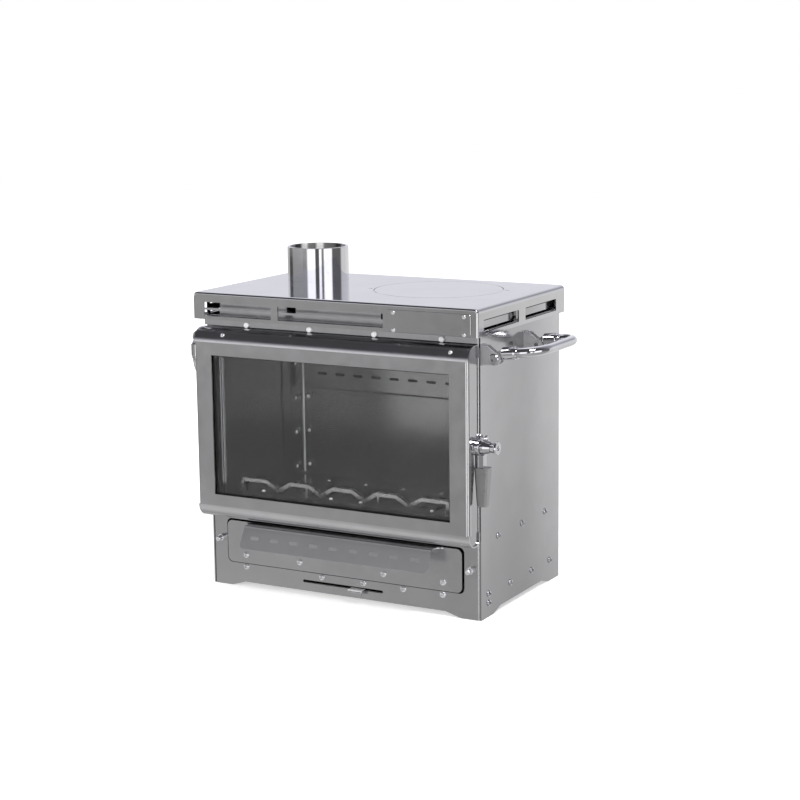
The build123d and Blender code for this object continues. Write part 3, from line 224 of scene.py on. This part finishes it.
PANEL_GREY = (0.60, 0.60, 0.61)
BRIGHT_GREY = (0.72, 0.72, 0.74)
PANEL_ROUGHNESS = 0.20
PANEL_GRAIN = 0.02 * MM
BRIGHT_ROUGHNESS = 0.06
TONE_VARIATION = 0.03
CLOUD_ENDS = (0.35, 0.65)
WEAR_ENDS = (0.3, 0.7)


def node_tree(material):
    """A material's nodes, links and main shader."""
    nodes = material.node_tree.nodes
    return nodes, material.node_tree.links, nodes.get("Principled BSDF")


def new_material(name):
    """A new material, with its nodes, links and main shader."""
    material = bpy.data.materials.new(name)
    material.use_nodes = True
    return material, *node_tree(material)


def steel(name, colour, roughness, variation, metallic=1.0, grain_depth=0.0):
    """Stainless steel, slightly clouded in tone and gloss, with a fine rolled grain if that has a depth.

    With a metallic below 1 it mirrors less, and picks up the lamps as well as the room.
    """
    material, nodes, links, shader = new_material(name)
    shader.inputs["Metallic"].default_value = metallic
    dark = [channel * (1 - TONE_VARIATION) for channel in colour]
    light = [min(1.0, channel * (1 + TONE_VARIATION)) for channel in colour]
    cloud = noise(nodes, links, scale=14, detail=4)
    links.new(two_tones(nodes, links, cloud, dark, light, CLOUD_ENDS), shader.inputs["Base Color"])
    wear = noise(nodes, links, scale=60, detail=5)
    gloss = (roughness - variation, roughness + variation)
    links.new(map_range(nodes, links, wear, WEAR_ENDS, gloss), shader.inputs["Roughness"])
    if grain_depth > 0:
        grain = noise(nodes, links, scale=900, detail=2)
        raise_surface(nodes, links, shader, grain, strength=0.25, distance=grain_depth)
    return material


# Painted reflections and shade on the side panels: tone bands from front to rear, and painted shade from the
# floor up
SIDE_PAINTED_REFLECTION_BANDS = [(0.0, 0.96), (0.12, 0.89), (0.5, 0.70), (0.72, 0.86), (1.0, 1.04)]
FOOT_PAINTED_SHADE_BANDS = [(0.0, 0.74), (0.35, 0.84), (0.7, 1.0)]


def side_panel_painted_steel(name):
    """Mirror-rolled sheet with painted reflections in broad upright bands, and painted shade that darkens it
    towards the floor.
    """
    material = steel(name, (0.66, 0.66, 0.675), roughness=0.14, variation=0.02)
    nodes, links, shader = node_tree(material)
    low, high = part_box("side_panel_right")
    # Painted reflection bands along Y and painted shade along Z, multiplied into the base colour
    for axis, stops, ends in (("Y", SIDE_PAINTED_REFLECTION_BANDS, (low.y, high.y)), ("Z", FOOT_PAINTED_SHADE_BANDS, (0, high.z))):
        along = split_axes(nodes, links, object_coordinates(nodes))[axis]
        bands = grey_levels(nodes, links, map_range(nodes, links, along, ends), stops, "B_SPLINE")
        blend_base(nodes, links, shader, 1.0, bands, "MULTIPLY")
    return material


# The drawer's pull: how metallic it is, and between which places in front of the front panel that sets in
PULL_METALLIC = 0.72
PULL_START = 2 * MM
PULL_END = 14 * MM


def drawer_steel(name):
    """The drawer front's sheet, with the folded pull brushed duller than the face."""
    material = steel(name, PANEL_GREY, PANEL_ROUGHNESS, variation=0.03, grain_depth=PANEL_GRAIN)
    nodes, links, shader = node_tree(material)
    y = split_axes(nodes, links, object_coordinates(nodes))["Y"]
    ends = (STOVE_ORIGIN.y - PULL_START, STOVE_ORIGIN.y - PULL_END)
    links.new(map_range(nodes, links, y, ends, (1.0, PULL_METALLIC)), shader.inputs["Metallic"])
    return material


# The air slider's painted highlight: its colour on upward faces, and the normal's Z above which a face looks
# upward
PAINTED_HIGHLIGHT_GREY = (0.95, 0.95, 0.95, 1)
UPWARD = 0.5


def slider_steel_painted_highlight(name):
    """Panel sheet with a painted highlight: its upward faces are near-white and not metallic."""
    material = steel(name, PANEL_GREY, PANEL_ROUGHNESS, variation=0.03)
    nodes, links, shader = node_tree(material)
    normal = nodes.new("ShaderNodeNewGeometry").outputs["Normal"]
    upward = math_node(nodes, links, "GREATER_THAN", split_axes(nodes, links, normal)["Z"], UPWARD)
    # Painted highlight: the upward faces' base colour is near-white
    blend_base(nodes, links, shader, upward, PAINTED_HIGHLIGHT_GREY)
    links.new(math_node(nodes, links, "SUBTRACT", 1.0, upward), shader.inputs["Metallic"])
    return material


# Inside the flue collar: the radius up to which it reaches, how much less metallic it is, and its painted
# reflection: upright streaks of light and dark by bearing from the far side
COLLAR_BORE_RADIUS = 40.6 * MM
COLLAR_DULLING = 0.9
COLLAR_PAINTED_REFLECTION_BANDS = [(-180, 0.3), (-90, 0.3), (-62, 0.25), (-55, 0.05), (-42, 0.08), (-35, 1.0), (-27, 1.0),
                (-22, 0.25), (-8, 0.2), (-3, 1.0), (7, 1.0), (12, 0.22), (35, 0.15), (42, 0.03), (52, 0.03),
                (60, 0.4), (90, 0.3), (180, 0.3)]


def collar_steel_painted_reflection(name):
    """The flue collar: bright outside, and inside a duller wall with a painted reflection of upright streaks of
    light and dark.
    """
    material = steel(name, BRIGHT_GREY, BRIGHT_ROUGHNESS, variation=0.02)
    nodes, links, shader = node_tree(material)
    low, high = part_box("flue_collar")
    axes = split_axes(nodes, links, object_coordinates(nodes))
    across = math_node(nodes, links, "SUBTRACT", axes["X"], (low.x + high.x) / 2)
    along = math_node(nodes, links, "SUBTRACT", axes["Y"], (low.y + high.y) / 2)
    squares = [math_node(nodes, links, "MULTIPLY", side, side) for side in (across, along)]
    reach = math_node(nodes, links, "SQRT", math_node(nodes, links, "ADD", *squares))
    inside = math_node(nodes, links, "LESS_THAN", reach, COLLAR_BORE_RADIUS)
    share = bearing_share(nodes, links, across, along, -CAMERA_AZIMUTH)
    # Painted reflection: light and dark streaks in the base colour inside the bore
    blend_base(nodes, links, shader, inside, band_levels(nodes, links, share, COLLAR_PAINTED_REFLECTION_BANDS))
    dulling = math_node(nodes, links, "MULTIPLY", inside, COLLAR_DULLING)
    links.new(math_node(nodes, links, "SUBTRACT", 1.0, dulling), shader.inputs["Metallic"])
    return material


def painted_shade(name):
    """Painted shade: dull black with faint grey patches."""
    material, nodes, links, shader = new_material(name)
    patches = noise(nodes, links, scale=40)
    colour = two_tones(nodes, links, patches, (0.006, 0.006, 0.006), (0.018, 0.017, 0.016))
    links.new(colour, shader.inputs["Base Color"])
    shader.inputs["Roughness"].default_value = 0.95
    return material


def woven_tape(name):
    """Dark glass-fibre tape: a tight plain weave."""
    material, nodes, links, shader = new_material(name)
    coordinates = object_coordinates(nodes)
    threads = []
    for axis in ("X", "Z"):
        wave = nodes.new("ShaderNodeTexWave")
        wave.bands_direction = axis
        wave.inputs["Scale"].default_value = 320
        wave.inputs["Distortion"].default_value = 1.5
        links.new(coordinates, wave.inputs["Vector"])
        threads.append(wave.outputs["Fac"])
    height = math_node(nodes, links, "MULTIPLY", *threads)
    colour = two_tones(nodes, links, height, (0.012, 0.012, 0.012), (0.05, 0.048, 0.045))
    links.new(colour, shader.inputs["Base Color"])
    shader.inputs["Roughness"].default_value = 0.9
    raise_surface(nodes, links, shader, height, strength=0.6, distance=0.3 * MM)
    return material


def glass(name):
    """Clear ceramic glass with a faint grey cast and barely visible wiping marks. Lamps shine through it."""
    material, nodes, links, shader = new_material(name)
    shader.inputs["Transmission Weight"].default_value = 1.0
    shader.inputs["IOR"].default_value = 1.45
    shader.inputs["Roughness"].default_value = 0.0
    marks = noise(nodes, links, scale=9, detail=4, stretch=(1, 1, 3))
    colour = two_tones(nodes, links, marks, (0.90, 0.90, 0.89), (0.96, 0.96, 0.95))
    links.new(colour, shader.inputs["Base Color"])
    clear = nodes.new("ShaderNodeBsdfTransparent")
    clear.inputs["Color"].default_value = (0.82, 0.82, 0.81, 1)
    path = nodes.new("ShaderNodeLightPath")
    chosen = nodes.new("ShaderNodeMixShader")
    links.new(path.outputs["Is Shadow Ray"], chosen.inputs["Fac"])
    links.new(shader.outputs["BSDF"], chosen.inputs[1])
    links.new(clear.outputs["BSDF"], chosen.inputs[2])
    links.new(chosen.outputs["Shader"], nodes.get("Material Output").inputs["Surface"])
    return material


MATERIALS = {
    "panel": steel("panel_steel", PANEL_GREY, PANEL_ROUGHNESS, variation=0.03, grain_depth=PANEL_GRAIN),
    "top": steel("hood_steel", (0.66, 0.66, 0.67), roughness=0.10, variation=0.02),
    "side": side_panel_painted_steel("side_steel_painted_reflections"),
    "drawer": drawer_steel("drawer_steel"),
    "grip": steel("grip_steel", (0.42, 0.42, 0.42), roughness=0.28, variation=0.04),
    "inner": steel("inner_steel", (0.25, 0.25, 0.25), roughness=0.22, variation=0.02, metallic=0.94),
    "bright": steel("bright_steel", BRIGHT_GREY, BRIGHT_ROUGHNESS, variation=0.02),
    # Bright screw steel, made lighter and partly diffuse so that the heads also show a painted highlight
    "fixing": steel("fixing_steel", (0.90, 0.90, 0.91), roughness=0.14, variation=0.03, metallic=0.75),
    "side_fixing": steel("side_fixing_steel", (0.60, 0.60, 0.62), roughness=0.16, variation=0.03),
    # Near-white and hardly metallic: a painted glint on the liner screws, header studs and corner beads
    "painted_glint_fixing": steel("painted_glint_fixing_steel", (0.98, 0.98, 0.98), roughness=0.12, variation=0.03,
                          metallic=0.10),
    "guard": steel("guard_steel", (0.36, 0.36, 0.36), roughness=0.28, variation=0.03),
    "bracket": steel("bracket_steel", (0.50, 0.50, 0.51), roughness=0.22, variation=0.03, metallic=0.55),
    "slider": slider_steel_painted_highlight("slider_steel_painted_highlight"),
    "painted_shade": painted_shade("painted_shade"),
    "collar": collar_steel_painted_reflection("collar_steel_painted_reflection"),
    "tape": woven_tape("woven_tape"),
    "glass": glass("stove_glass"),
}

# The CAD nodes that have each finish. The nodes that aren't named have the inner one.
FINISH_NODES = {
    "panel": ["front_panel", "door_shell", "header_strip", "hood_vent_bars"],
    "side": ["rear_panel", "side_panel_left", "side_panel_right", "door_side_plates"],
    "drawer": ["drawer_front"],
    "top": ["hood_shell", "cook_plate", "nameplate"],
    "grip": ["latch_grip"],
    "slider": ["air_slider"],
    "collar": ["flue_collar"],
    "guard": ["log_guard"],
    "bracket": ["handle_brackets"],
    "tape": ["glass_gasket", "door_seal"],
    "glass": ["door_glass"],
    "bright": ["latch_spindle", "latch_lever", "latch_sleeve", "latch_keeper",
               "handle_pins", "handle_bail_right", "handle_bail_left", "ferrules_right", "ferrules_left",
               "hinge_leaves_body", "hinge_leaves_door", "hinge_pins"],
    "fixing": ["liner_screws", "header_studs", "nameplate_screws", "front_studs", "front_screws",
               "side_screws", "rear_screws", "drawer_screws", "glass_screws", "door_screws"],
}


def finish_nodes():
    """Gives every CAD node its finish."""
    finishes = {name: finish for finish, names in FINISH_NODES.items() for name in names}
    for name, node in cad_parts.items():
        for place in node.material_slots:
            place.material = MATERIALS[finishes.get(name, "inner")]


# Meshes that the added pieces are made of

SHARP_ANGLE = math.radians(40)


def turn_angles(count, offset=0.0):
    """Evenly spaced angles round a full turn, which start at so many steps."""
    return [2 * math.pi * (index + offset) / count for index in range(count)]


def skin_rows(shape, rows):
    """Faces from each ring of points to the next, and one over each end."""
    for lower, upper in zip(rows, rows[1:]):
        for index in range(len(lower)):
            after = (index + 1) % len(lower)
            shape.faces.new((lower[index], lower[after], upper[after], upper[index]))
    shape.faces.new(rows[-1])
    shape.faces.new(list(reversed(rows[0])))


def make_piece(shape, name, finish):
    """Turns a bmesh into a smooth-shaded piece with sharp edges where it bends much."""
    mesh = bpy.data.meshes.new(name)
    bmesh.ops.recalc_face_normals(shape, faces=shape.faces)
    shape.to_mesh(mesh)
    shape.free()
    mesh.polygons.foreach_set("use_smooth", [True] * len(mesh.polygons))
    mesh.set_sharp_from_angle(angle=SHARP_ANGLE)
    mesh.materials.append(MATERIALS[finish])
    return link_object(name, mesh)


# Domed screw heads: they stand for the CAD's plain ones, at the places found in the CAD's own meshes

# The body that each node of screws rides on, the nodes whose heads are flat-ended studs, and the finishes
# that differ from the others
HEAD_NODES = {
    "side_screws": "stove_body", "front_screws": "stove_body", "rear_screws": "stove_body",
    "header_studs": "stove_body", "nameplate_screws": "stove_body", "liner_screws": "stove_body",
    "drawer_screws": "drawer", "door_screws": "door",
}
FLAT_HEADS = ["header_studs"]
# The liner screws and header studs take the near-white finish, a painted glint
HEAD_FINISH = {"side_screws": "side_fixing", "rear_screws": "side_fixing", "liner_screws": "painted_glint_fixing",
               "header_studs": "painted_glint_fixing"}

# A dome stands on an upright rim. Its socket is a hexagon that narrows a little towards its bottom.
HEAD_SEGMENTS = 36
DOME_RINGS = 7
DOME_ANGLE = math.radians(78)
RIM_HEIGHT_SHARE = 0.12
SOCKET_SHARE = 0.42
SOCKET_LIP = 1.16
SOCKET_NARROWING = 0.97
SOCKET_BOTTOM_SHARE = 0.45

# A stud is wider than the CAD's, with a bevel round its end
STUD_GROWTH = 1.3
STUD_BEVEL_START = 0.86
STUD_END_SHARE = 0.88


def islands(mesh):
    """The mesh's separate pieces, as lists of points, in the order of their first point."""
    parent = list(range(len(mesh.vertices)))

    def root(index):
        while parent[index] != index:
            parent[index] = parent[parent[index]]
            index = parent[index]
        return index

    def join(one, other):
        low, high = sorted((root(one), root(other)))
        parent[high] = low

    for edge in mesh.edges:
        join(*edge.vertices)
    places = {}
    for vertex in mesh.vertices:
        place = tuple(round(value, 6) for value in vertex.co)
        join(places.setdefault(place, vertex.index), vertex.index)
    groups = {}
    for vertex in mesh.vertices:
        groups.setdefault(root(vertex.index), []).append(vertex.co.copy())
    return [groups[index] for index in sorted(groups)]


def head_profile(radius, height):
    """Radius and height of the dome's rings, from the rim to the socket."""
    rings = [(radius, 0.0), (radius, height * RIM_HEIGHT_SHARE)]
    lip = radius * SOCKET_SHARE * SOCKET_LIP
    for index in range(1, DOME_RINGS + 1):
        angle = DOME_ANGLE * index / DOME_RINGS
        rise = (1 - RIM_HEIGHT_SHARE) * math.sin(angle) / math.sin(DOME_ANGLE)
        rings.append((max(lip, radius * math.cos(angle)), height * (RIM_HEIGHT_SHARE + rise)))
    return rings


def hexagon_radius(angle, radius):
    """The distance of a hexagon's edge from its middle at an angle."""
    return radius * math.cos(math.pi / 6) / math.cos((angle % (math.pi / 3)) - math.pi / 6)


def add_head(shape, flat, base, outward, radius, height, shank_radius, shank_length):
    """One domed head with a hexagon socket, or a flat-ended one, and its shank."""
    turn = outward.to_track_quat("Z", "Y").to_matrix()

    def ring(size, rise, hexagon=False):
        row = []
        for angle in turn_angles(HEAD_SEGMENTS):
            reach = hexagon_radius(angle, size) if hexagon else size
            spot = Vector((reach * math.cos(angle), reach * math.sin(angle), rise))
            row.append(shape.verts.new(base + turn @ spot))
        return row

    rows = []
    if shank_length > 0:
        rows += [ring(shank_radius, -shank_length), ring(shank_radius, 0)]
    if flat:
        wide = radius * STUD_GROWTH
        rows += [ring(wide, 0), ring(wide, height * STUD_BEVEL_START), ring(wide * STUD_END_SHARE, height)]
    else:
        socket = radius * SOCKET_SHARE
        rows += [ring(size, rise) for size, rise in head_profile(radius, height)]
        rows += [ring(socket, height, True),
                 ring(socket * SOCKET_NARROWING, height * SOCKET_BOTTOM_SHARE, True)]
    skin_rows(shape, rows)


# The directions that the CAD's screws can point in: the axes, and square to the door's upper roll
ROLL_ANGLE = math.radians(55)
SCREW_AXES = [Vector((1, 0, 0)), Vector((0, 1, 0)), Vector((0, 0, 1)),
              Vector((0, -math.sin(ROLL_ANGLE), math.cos(ROLL_ANGLE)))]

# How close two measures count as the same, how far one rim's points may spread, and how far below the rim a
# shank starts
TOUCH = 0.01 * MM
RIM_SPREAD = 5 * TOUCH
SHANK_DROP = 10 * TOUCH


def measure_screw(points):
    """Seat, outward direction, head radius and height, shank radius and length of one CAD screw.

    The widest rim with the most points in one plane gives the axis. The head is on the rim's shorter side,
    or on the only side there is.
    """
    middle = sum(points, Vector()) / len(points)
    most = 0
    for direction in SCREW_AXES:
        rises = [(point - middle).dot(direction) for point in points]
        spreads = [(point - middle - direction * rise).length for point, rise in zip(points, rises)]
        widest = max(spreads)
        rim = [rise for rise, spread in zip(rises, spreads) if spread > widest - RIM_SPREAD]
        if max(rim) - min(rim) < RIM_SPREAD and len(rim) > most:
            most = len(rim)
            axis, heights, reaches, radius, rim_height = direction, rises, spreads, widest, rim[0]
    above = max(heights) - rim_height
    below = rim_height - min(heights)
    if above < TOUCH or TOUCH < below < above:
        axis = -axis
        heights = [-height for height in heights]
        rim_height = -rim_height
        above, below = below, above
    shank = [reach for height, reach in zip(heights, reaches) if height < rim_height - SHANK_DROP]
    shank_radius = max(shank, default=0.0)
    shank_length = below if shank else 0.0
    return middle + axis * rim_height, axis, radius, above, shank_radius, shank_length


def make_heads(name, body):
    """The heads that stand for one node of screws."""
    shape = bmesh.new()
    for points in islands(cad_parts[name].data):
        add_head(shape, name in FLAT_HEADS, *measure_screw(points))
    piece = make_piece(shape, name + "_domed", HEAD_FINISH.get(name, "fixing"))
    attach(piece, body)
    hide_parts(name)


# Inside the firebox: rounded beads along the upright corners, near-white as a painted highlight, and black
# obrounds of painted shade on the air duct

LINER_SHEET = 1.5 * MM
BEAD_RADIUS = 1.3 * MM
BEAD_INSET = LINER_SHEET + BEAD_RADIUS * 0.4
DUCT_SLOTS = 11
DUCT_SLOT_END = 6.6 * MM
DUCT_SLOT_LENGTH = 16 * MM
DUCT_SLOT_HEIGHT = 4 * MM
OBROUND_RISE = 0.12 * MM
OBROUND_SINK = 2 * OBROUND_RISE
ROUND_SEGMENTS = 20


def finish_piece(shape, name, finish):
    """Turns a bmesh into a piece that stays with the stove's body."""
    piece = make_piece(shape, name, finish)
    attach(piece, "stove_body")


def make_beads():
    """Beads in the two rear corners, as tall as the corner angles, near-white as a painted highlight along the
    corner bends.
    """
    low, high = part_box("corner_angles")
    y = high.y - BEAD_INSET
    shape = bmesh.new()
    for x in (low.x + BEAD_INSET, high.x - BEAD_INSET):
        rows = []
        for z in (low.z, high.z):
            row = []
            for angle in turn_angles(ROUND_SEGMENTS):
                row.append(shape.verts.new((x + BEAD_RADIUS * math.cos(angle),
                                            y + BEAD_RADIUS * math.sin(angle), z)))
            rows.append(row)
        skin_rows(shape, rows)
    finish_piece(shape, "corner_beads", "painted_glint_fixing")


def make_painted_slot_shade():
    """Black obrounds of painted shade a hair proud of the air duct's face, over its slots, which a skin closes
    in the CAD.
    """
    low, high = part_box("air_duct")
    pitch = (high.x - low.x - 2 * DUCT_SLOT_END) / DUCT_SLOTS
    radius = DUCT_SLOT_HEIGHT / 2
    straight = DUCT_SLOT_LENGTH / 2 - radius
    middle_z = (low.z + high.z) / 2
    shape = bmesh.new()
    for slot in range(DUCT_SLOTS):
        middle_x = (low.x + high.x) / 2 + (slot - (DUCT_SLOTS - 1) / 2) * pitch
        rows = []
        for y in (low.y - OBROUND_RISE, low.y + OBROUND_SINK):
            row = []
            for angle in turn_angles(ROUND_SEGMENTS, 0.5):
                side = straight if math.cos(angle) > 0 else -straight
                row.append(shape.verts.new((middle_x + side + radius * math.cos(angle), y,
                                            middle_z + radius * math.sin(angle))))
            rows.append(row)
        skin_rows(shape, rows)
    finish_piece(shape, "duct_slot_painted_shade", "painted_shade")


# Floor, whose own light grows with the distance from its middle, so that it meets the white background

FLOOR_SIZE = 12.0
FLOOR_SEGMENTS = 8
FLOOR_DROP = 0.2 * MM
FLOOR_FADE = (0.45, 1.4)
FLOOR_GLOW = (0.5, 1.0)


def make_floor():
    """A pale floor that fades into the white background. Metal mirrors the room instead of it."""
    mesh = bpy.data.meshes.new("floor")
    shape = bmesh.new()
    bmesh.ops.create_grid(shape, x_segments=FLOOR_SEGMENTS, y_segments=FLOOR_SEGMENTS, size=FLOOR_SIZE / 2)
    shape.to_mesh(mesh)
    shape.free()
    floor = link_object("floor", mesh)
    floor.location = (0, 0, -FLOOR_DROP)
    floor.visible_glossy = False
    mesh.materials.append(floor_material("pale_floor"))


def floor_material(name):
    """Dull white, with a glow that only the camera sees."""
    material, nodes, links, shader = new_material(name)
    shader.inputs["Base Color"].default_value = (0.92, 0.92, 0.92, 1)
    shader.inputs["Roughness"].default_value = 0.9
    shader.inputs["Specular IOR Level"].default_value = 0.0
    glow = nodes.new("ShaderNodeEmission")
    glow.inputs["Color"].default_value = (1, 1, 1, 1)
    path = nodes.new("ShaderNodeLightPath")
    distance = nodes.new("ShaderNodeVectorMath")
    distance.operation = "LENGTH"
    links.new(object_coordinates(nodes), distance.inputs[0])
    paler = map_range(nodes, links, distance.outputs["Value"], FLOOR_FADE, FLOOR_GLOW, smooth=True)
    amount = math_node(nodes, links, "MULTIPLY", path.outputs["Is Camera Ray"], paler)
    links.new(amount, glow.inputs["Strength"])
    added = nodes.new("ShaderNodeAddShader")
    links.new(shader.outputs["BSDF"], added.inputs[0])
    links.new(glow.outputs["Emission"], added.inputs[1])
    links.new(added.outputs["Shader"], nodes.get("Material Output").inputs["Surface"])
    return material


# The room that the metal mirrors: brightness by bearing, in degrees to the right of the camera. The floor's
# bands are the lowest, and each layer above them sets in between its two elevations, in degrees.
FLOOR_BANDS = [(-180, 0.60), (-120, 0.40), (-70, 0.75), (-63, 0.62), (-58, 0.42), (-50, 0.36), (-20, 0.5),
               (60, 0.4), (94, 0.35), (102, 0.70), (118, 0.72), (122, 0.55), (127, 0.70), (150, 0.75),
               (180, 0.60)]
LOW_BANDS = [(-180, 0.60), (-136, 0.55), (-130, 0.08), (-112, 0.08), (-106, 0.34), (-66, 0.34), (-60, 0.36),
             (-56, 0.29), (-42, 0.31), (-36, 1.6), (-10, 1.6), (-7, 0.12), (5, 0.12), (7, 1.5), (14, 1.5),
             (16, 0.15), (22, 0.15), (26, 1.7), (53, 1.7), (58, 0.14), (94, 0.14), (102, 0.75), (118, 0.78),
             (122, 0.57), (127, 0.82), (150, 0.85), (180, 0.60)]
HORIZON_BANDS = [(-180, 1.0), (-140, 1.0), (-120, 1.0), (-10, 1.0), (-7, 0.12), (5, 0.12), (7, 1.2),
                 (53, 1.2), (58, 0.2), (94, 0.2), (102, 0.8), (150, 0.9), (180, 1.0)]
SKY_BANDS = [(-180, 0.8), (-140, 0.8), (-130, 0.08), (-112, 0.08), (-106, 0.36), (-42, 0.36), (-36, 1.6),
             (-10, 1.6), (-7, 0.12), (5, 0.12), (7, 1.5), (14, 1.5), (16, 0.15), (22, 0.15), (26, 1.7),
             (53, 1.7), (58, 0.14), (94, 0.14), (102, 0.7), (140, 0.75), (150, 0.8), (180, 0.8)]
HIGH_BANDS = [(-180, 0.9), (-150, 0.9), (-125, 0.07), (60, 0.07), (90, 0.2), (115, 0.36), (135, 0.40),
              (160, 0.9), (180, 0.9)]
ROOM_LAYERS = [(LOW_BANDS, -16.5, -14.5), (HORIZON_BANDS, -6.5, -4.5), (SKY_BANDS, 4, 6),
               (HIGH_BANDS, 13, 17)]

# The room's upper part is a little bluer
COOL_TINT = (1.0, 1.0, 1.09, 1)
COOL_START = -4
COOL_END = 8


def height_step(nodes, links, z, start, end):
    """0 below the elevation start, 1 above the elevation end, in degrees."""
    ends = (math.sin(math.radians(start)), math.sin(math.radians(end)))
    return map_range(nodes, links, z, ends, smooth=True)


def room_colour(nodes, links):
    """The room's brightness and tint in every direction."""
    coordinates = nodes.new("ShaderNodeTexCoord")
    x, y, z = split_axes(nodes, links, coordinates.outputs["Generated"])
    back_y = math_node(nodes, links, "MULTIPLY", y, -1.0)
    share = bearing_share(nodes, links, x, back_y, CAMERA_AZIMUTH)
    level = band_levels(nodes, links, share, FLOOR_BANDS)
    for bands, start, end in ROOM_LAYERS:
        step = height_step(nodes, links, z, start, end)
        level = mix_colours(nodes, links, step, level, band_levels(nodes, links, share, bands))
    cool = height_step(nodes, links, z, COOL_START, COOL_END)
    return mix_colours(nodes, links, cool, level, COOL_TINT, "MULTIPLY")


def make_room():
    """A white background for the camera, and a studio of soft panels for everything else."""
    world = bpy.data.worlds.new("studio")
    bpy.context.scene.world = world
    world.use_nodes = True
    nodes = world.node_tree.nodes
    links = world.node_tree.links
    nodes.clear()
    room = nodes.new("ShaderNodeBackground")
    links.new(room_colour(nodes, links), room.inputs["Color"])
    white = nodes.new("ShaderNodeBackground")
    white.inputs["Color"].default_value = (1, 1, 1, 1)
    path = nodes.new("ShaderNodeLightPath")
    chosen = nodes.new("ShaderNodeMixShader")
    links.new(path.outputs["Is Camera Ray"], chosen.inputs["Fac"])
    links.new(room.outputs["Background"], chosen.inputs[1])
    links.new(white.outputs["Background"], chosen.inputs[2])
    output = nodes.new("ShaderNodeOutputWorld")
    links.new(chosen.outputs["Shader"], output.inputs["Surface"])


# Lamps, which all point at the stove's middle

MIDDLE = (0, 0, 0.25)
OVERHEAD_PLACE = (0, 0.2, 2.4)


def bearing_place(bearing, elevation, distance):
    """A place seen from the middle, so many degrees to the right of the camera and above the horizon."""
    azimuth = math.radians(CAMERA_AZIMUTH + bearing)
    rise = math.radians(elevation)
    return (distance * math.cos(rise) * math.sin(azimuth), -distance * math.cos(rise) * math.cos(azimuth),
            MIDDLE[2] + distance * math.sin(rise))


def make_lamp(name, place, size, power, mirrored):
    """A rectangular lamp, which the metal mirrors or doesn't."""
    data = bpy.data.lights.new(name, "AREA")
    data.shape = "RECTANGLE"
    data.size, data.size_y = size
    data.energy = power
    lamp = link_object(name, data)
    lamp.location = place
    lamp.rotation_euler = (Vector(MIDDLE) - Vector(place)).to_track_quat("-Z", "Y").to_euler()
    lamp.visible_glossy = mirrored


def make_lights():
    """A broad lamp overhead, one that fills from the left, and a small one high on the right for glints."""
    fill_place = bearing_place(bearing=-30, elevation=18, distance=3.0)
    glint_place = bearing_place(bearing=18, elevation=48, distance=2.6)
    make_lamp("overhead", OVERHEAD_PLACE, size=(2.4, 2.0), power=22, mirrored=False)
    make_lamp("fill", fill_place, size=(1.6, 1.2), power=30, mirrored=False)
    make_lamp("glint", glint_place, size=(0.8, 0.8), power=30, mirrored=True)


make_camera()
finish_nodes()
for node_name, body_name in HEAD_NODES.items():
    make_heads(node_name, body_name)
make_beads()
make_painted_slot_shade()
make_floor()
make_room()
make_lights()
bpy.context.scene.view_settings.view_transform = "Standard"
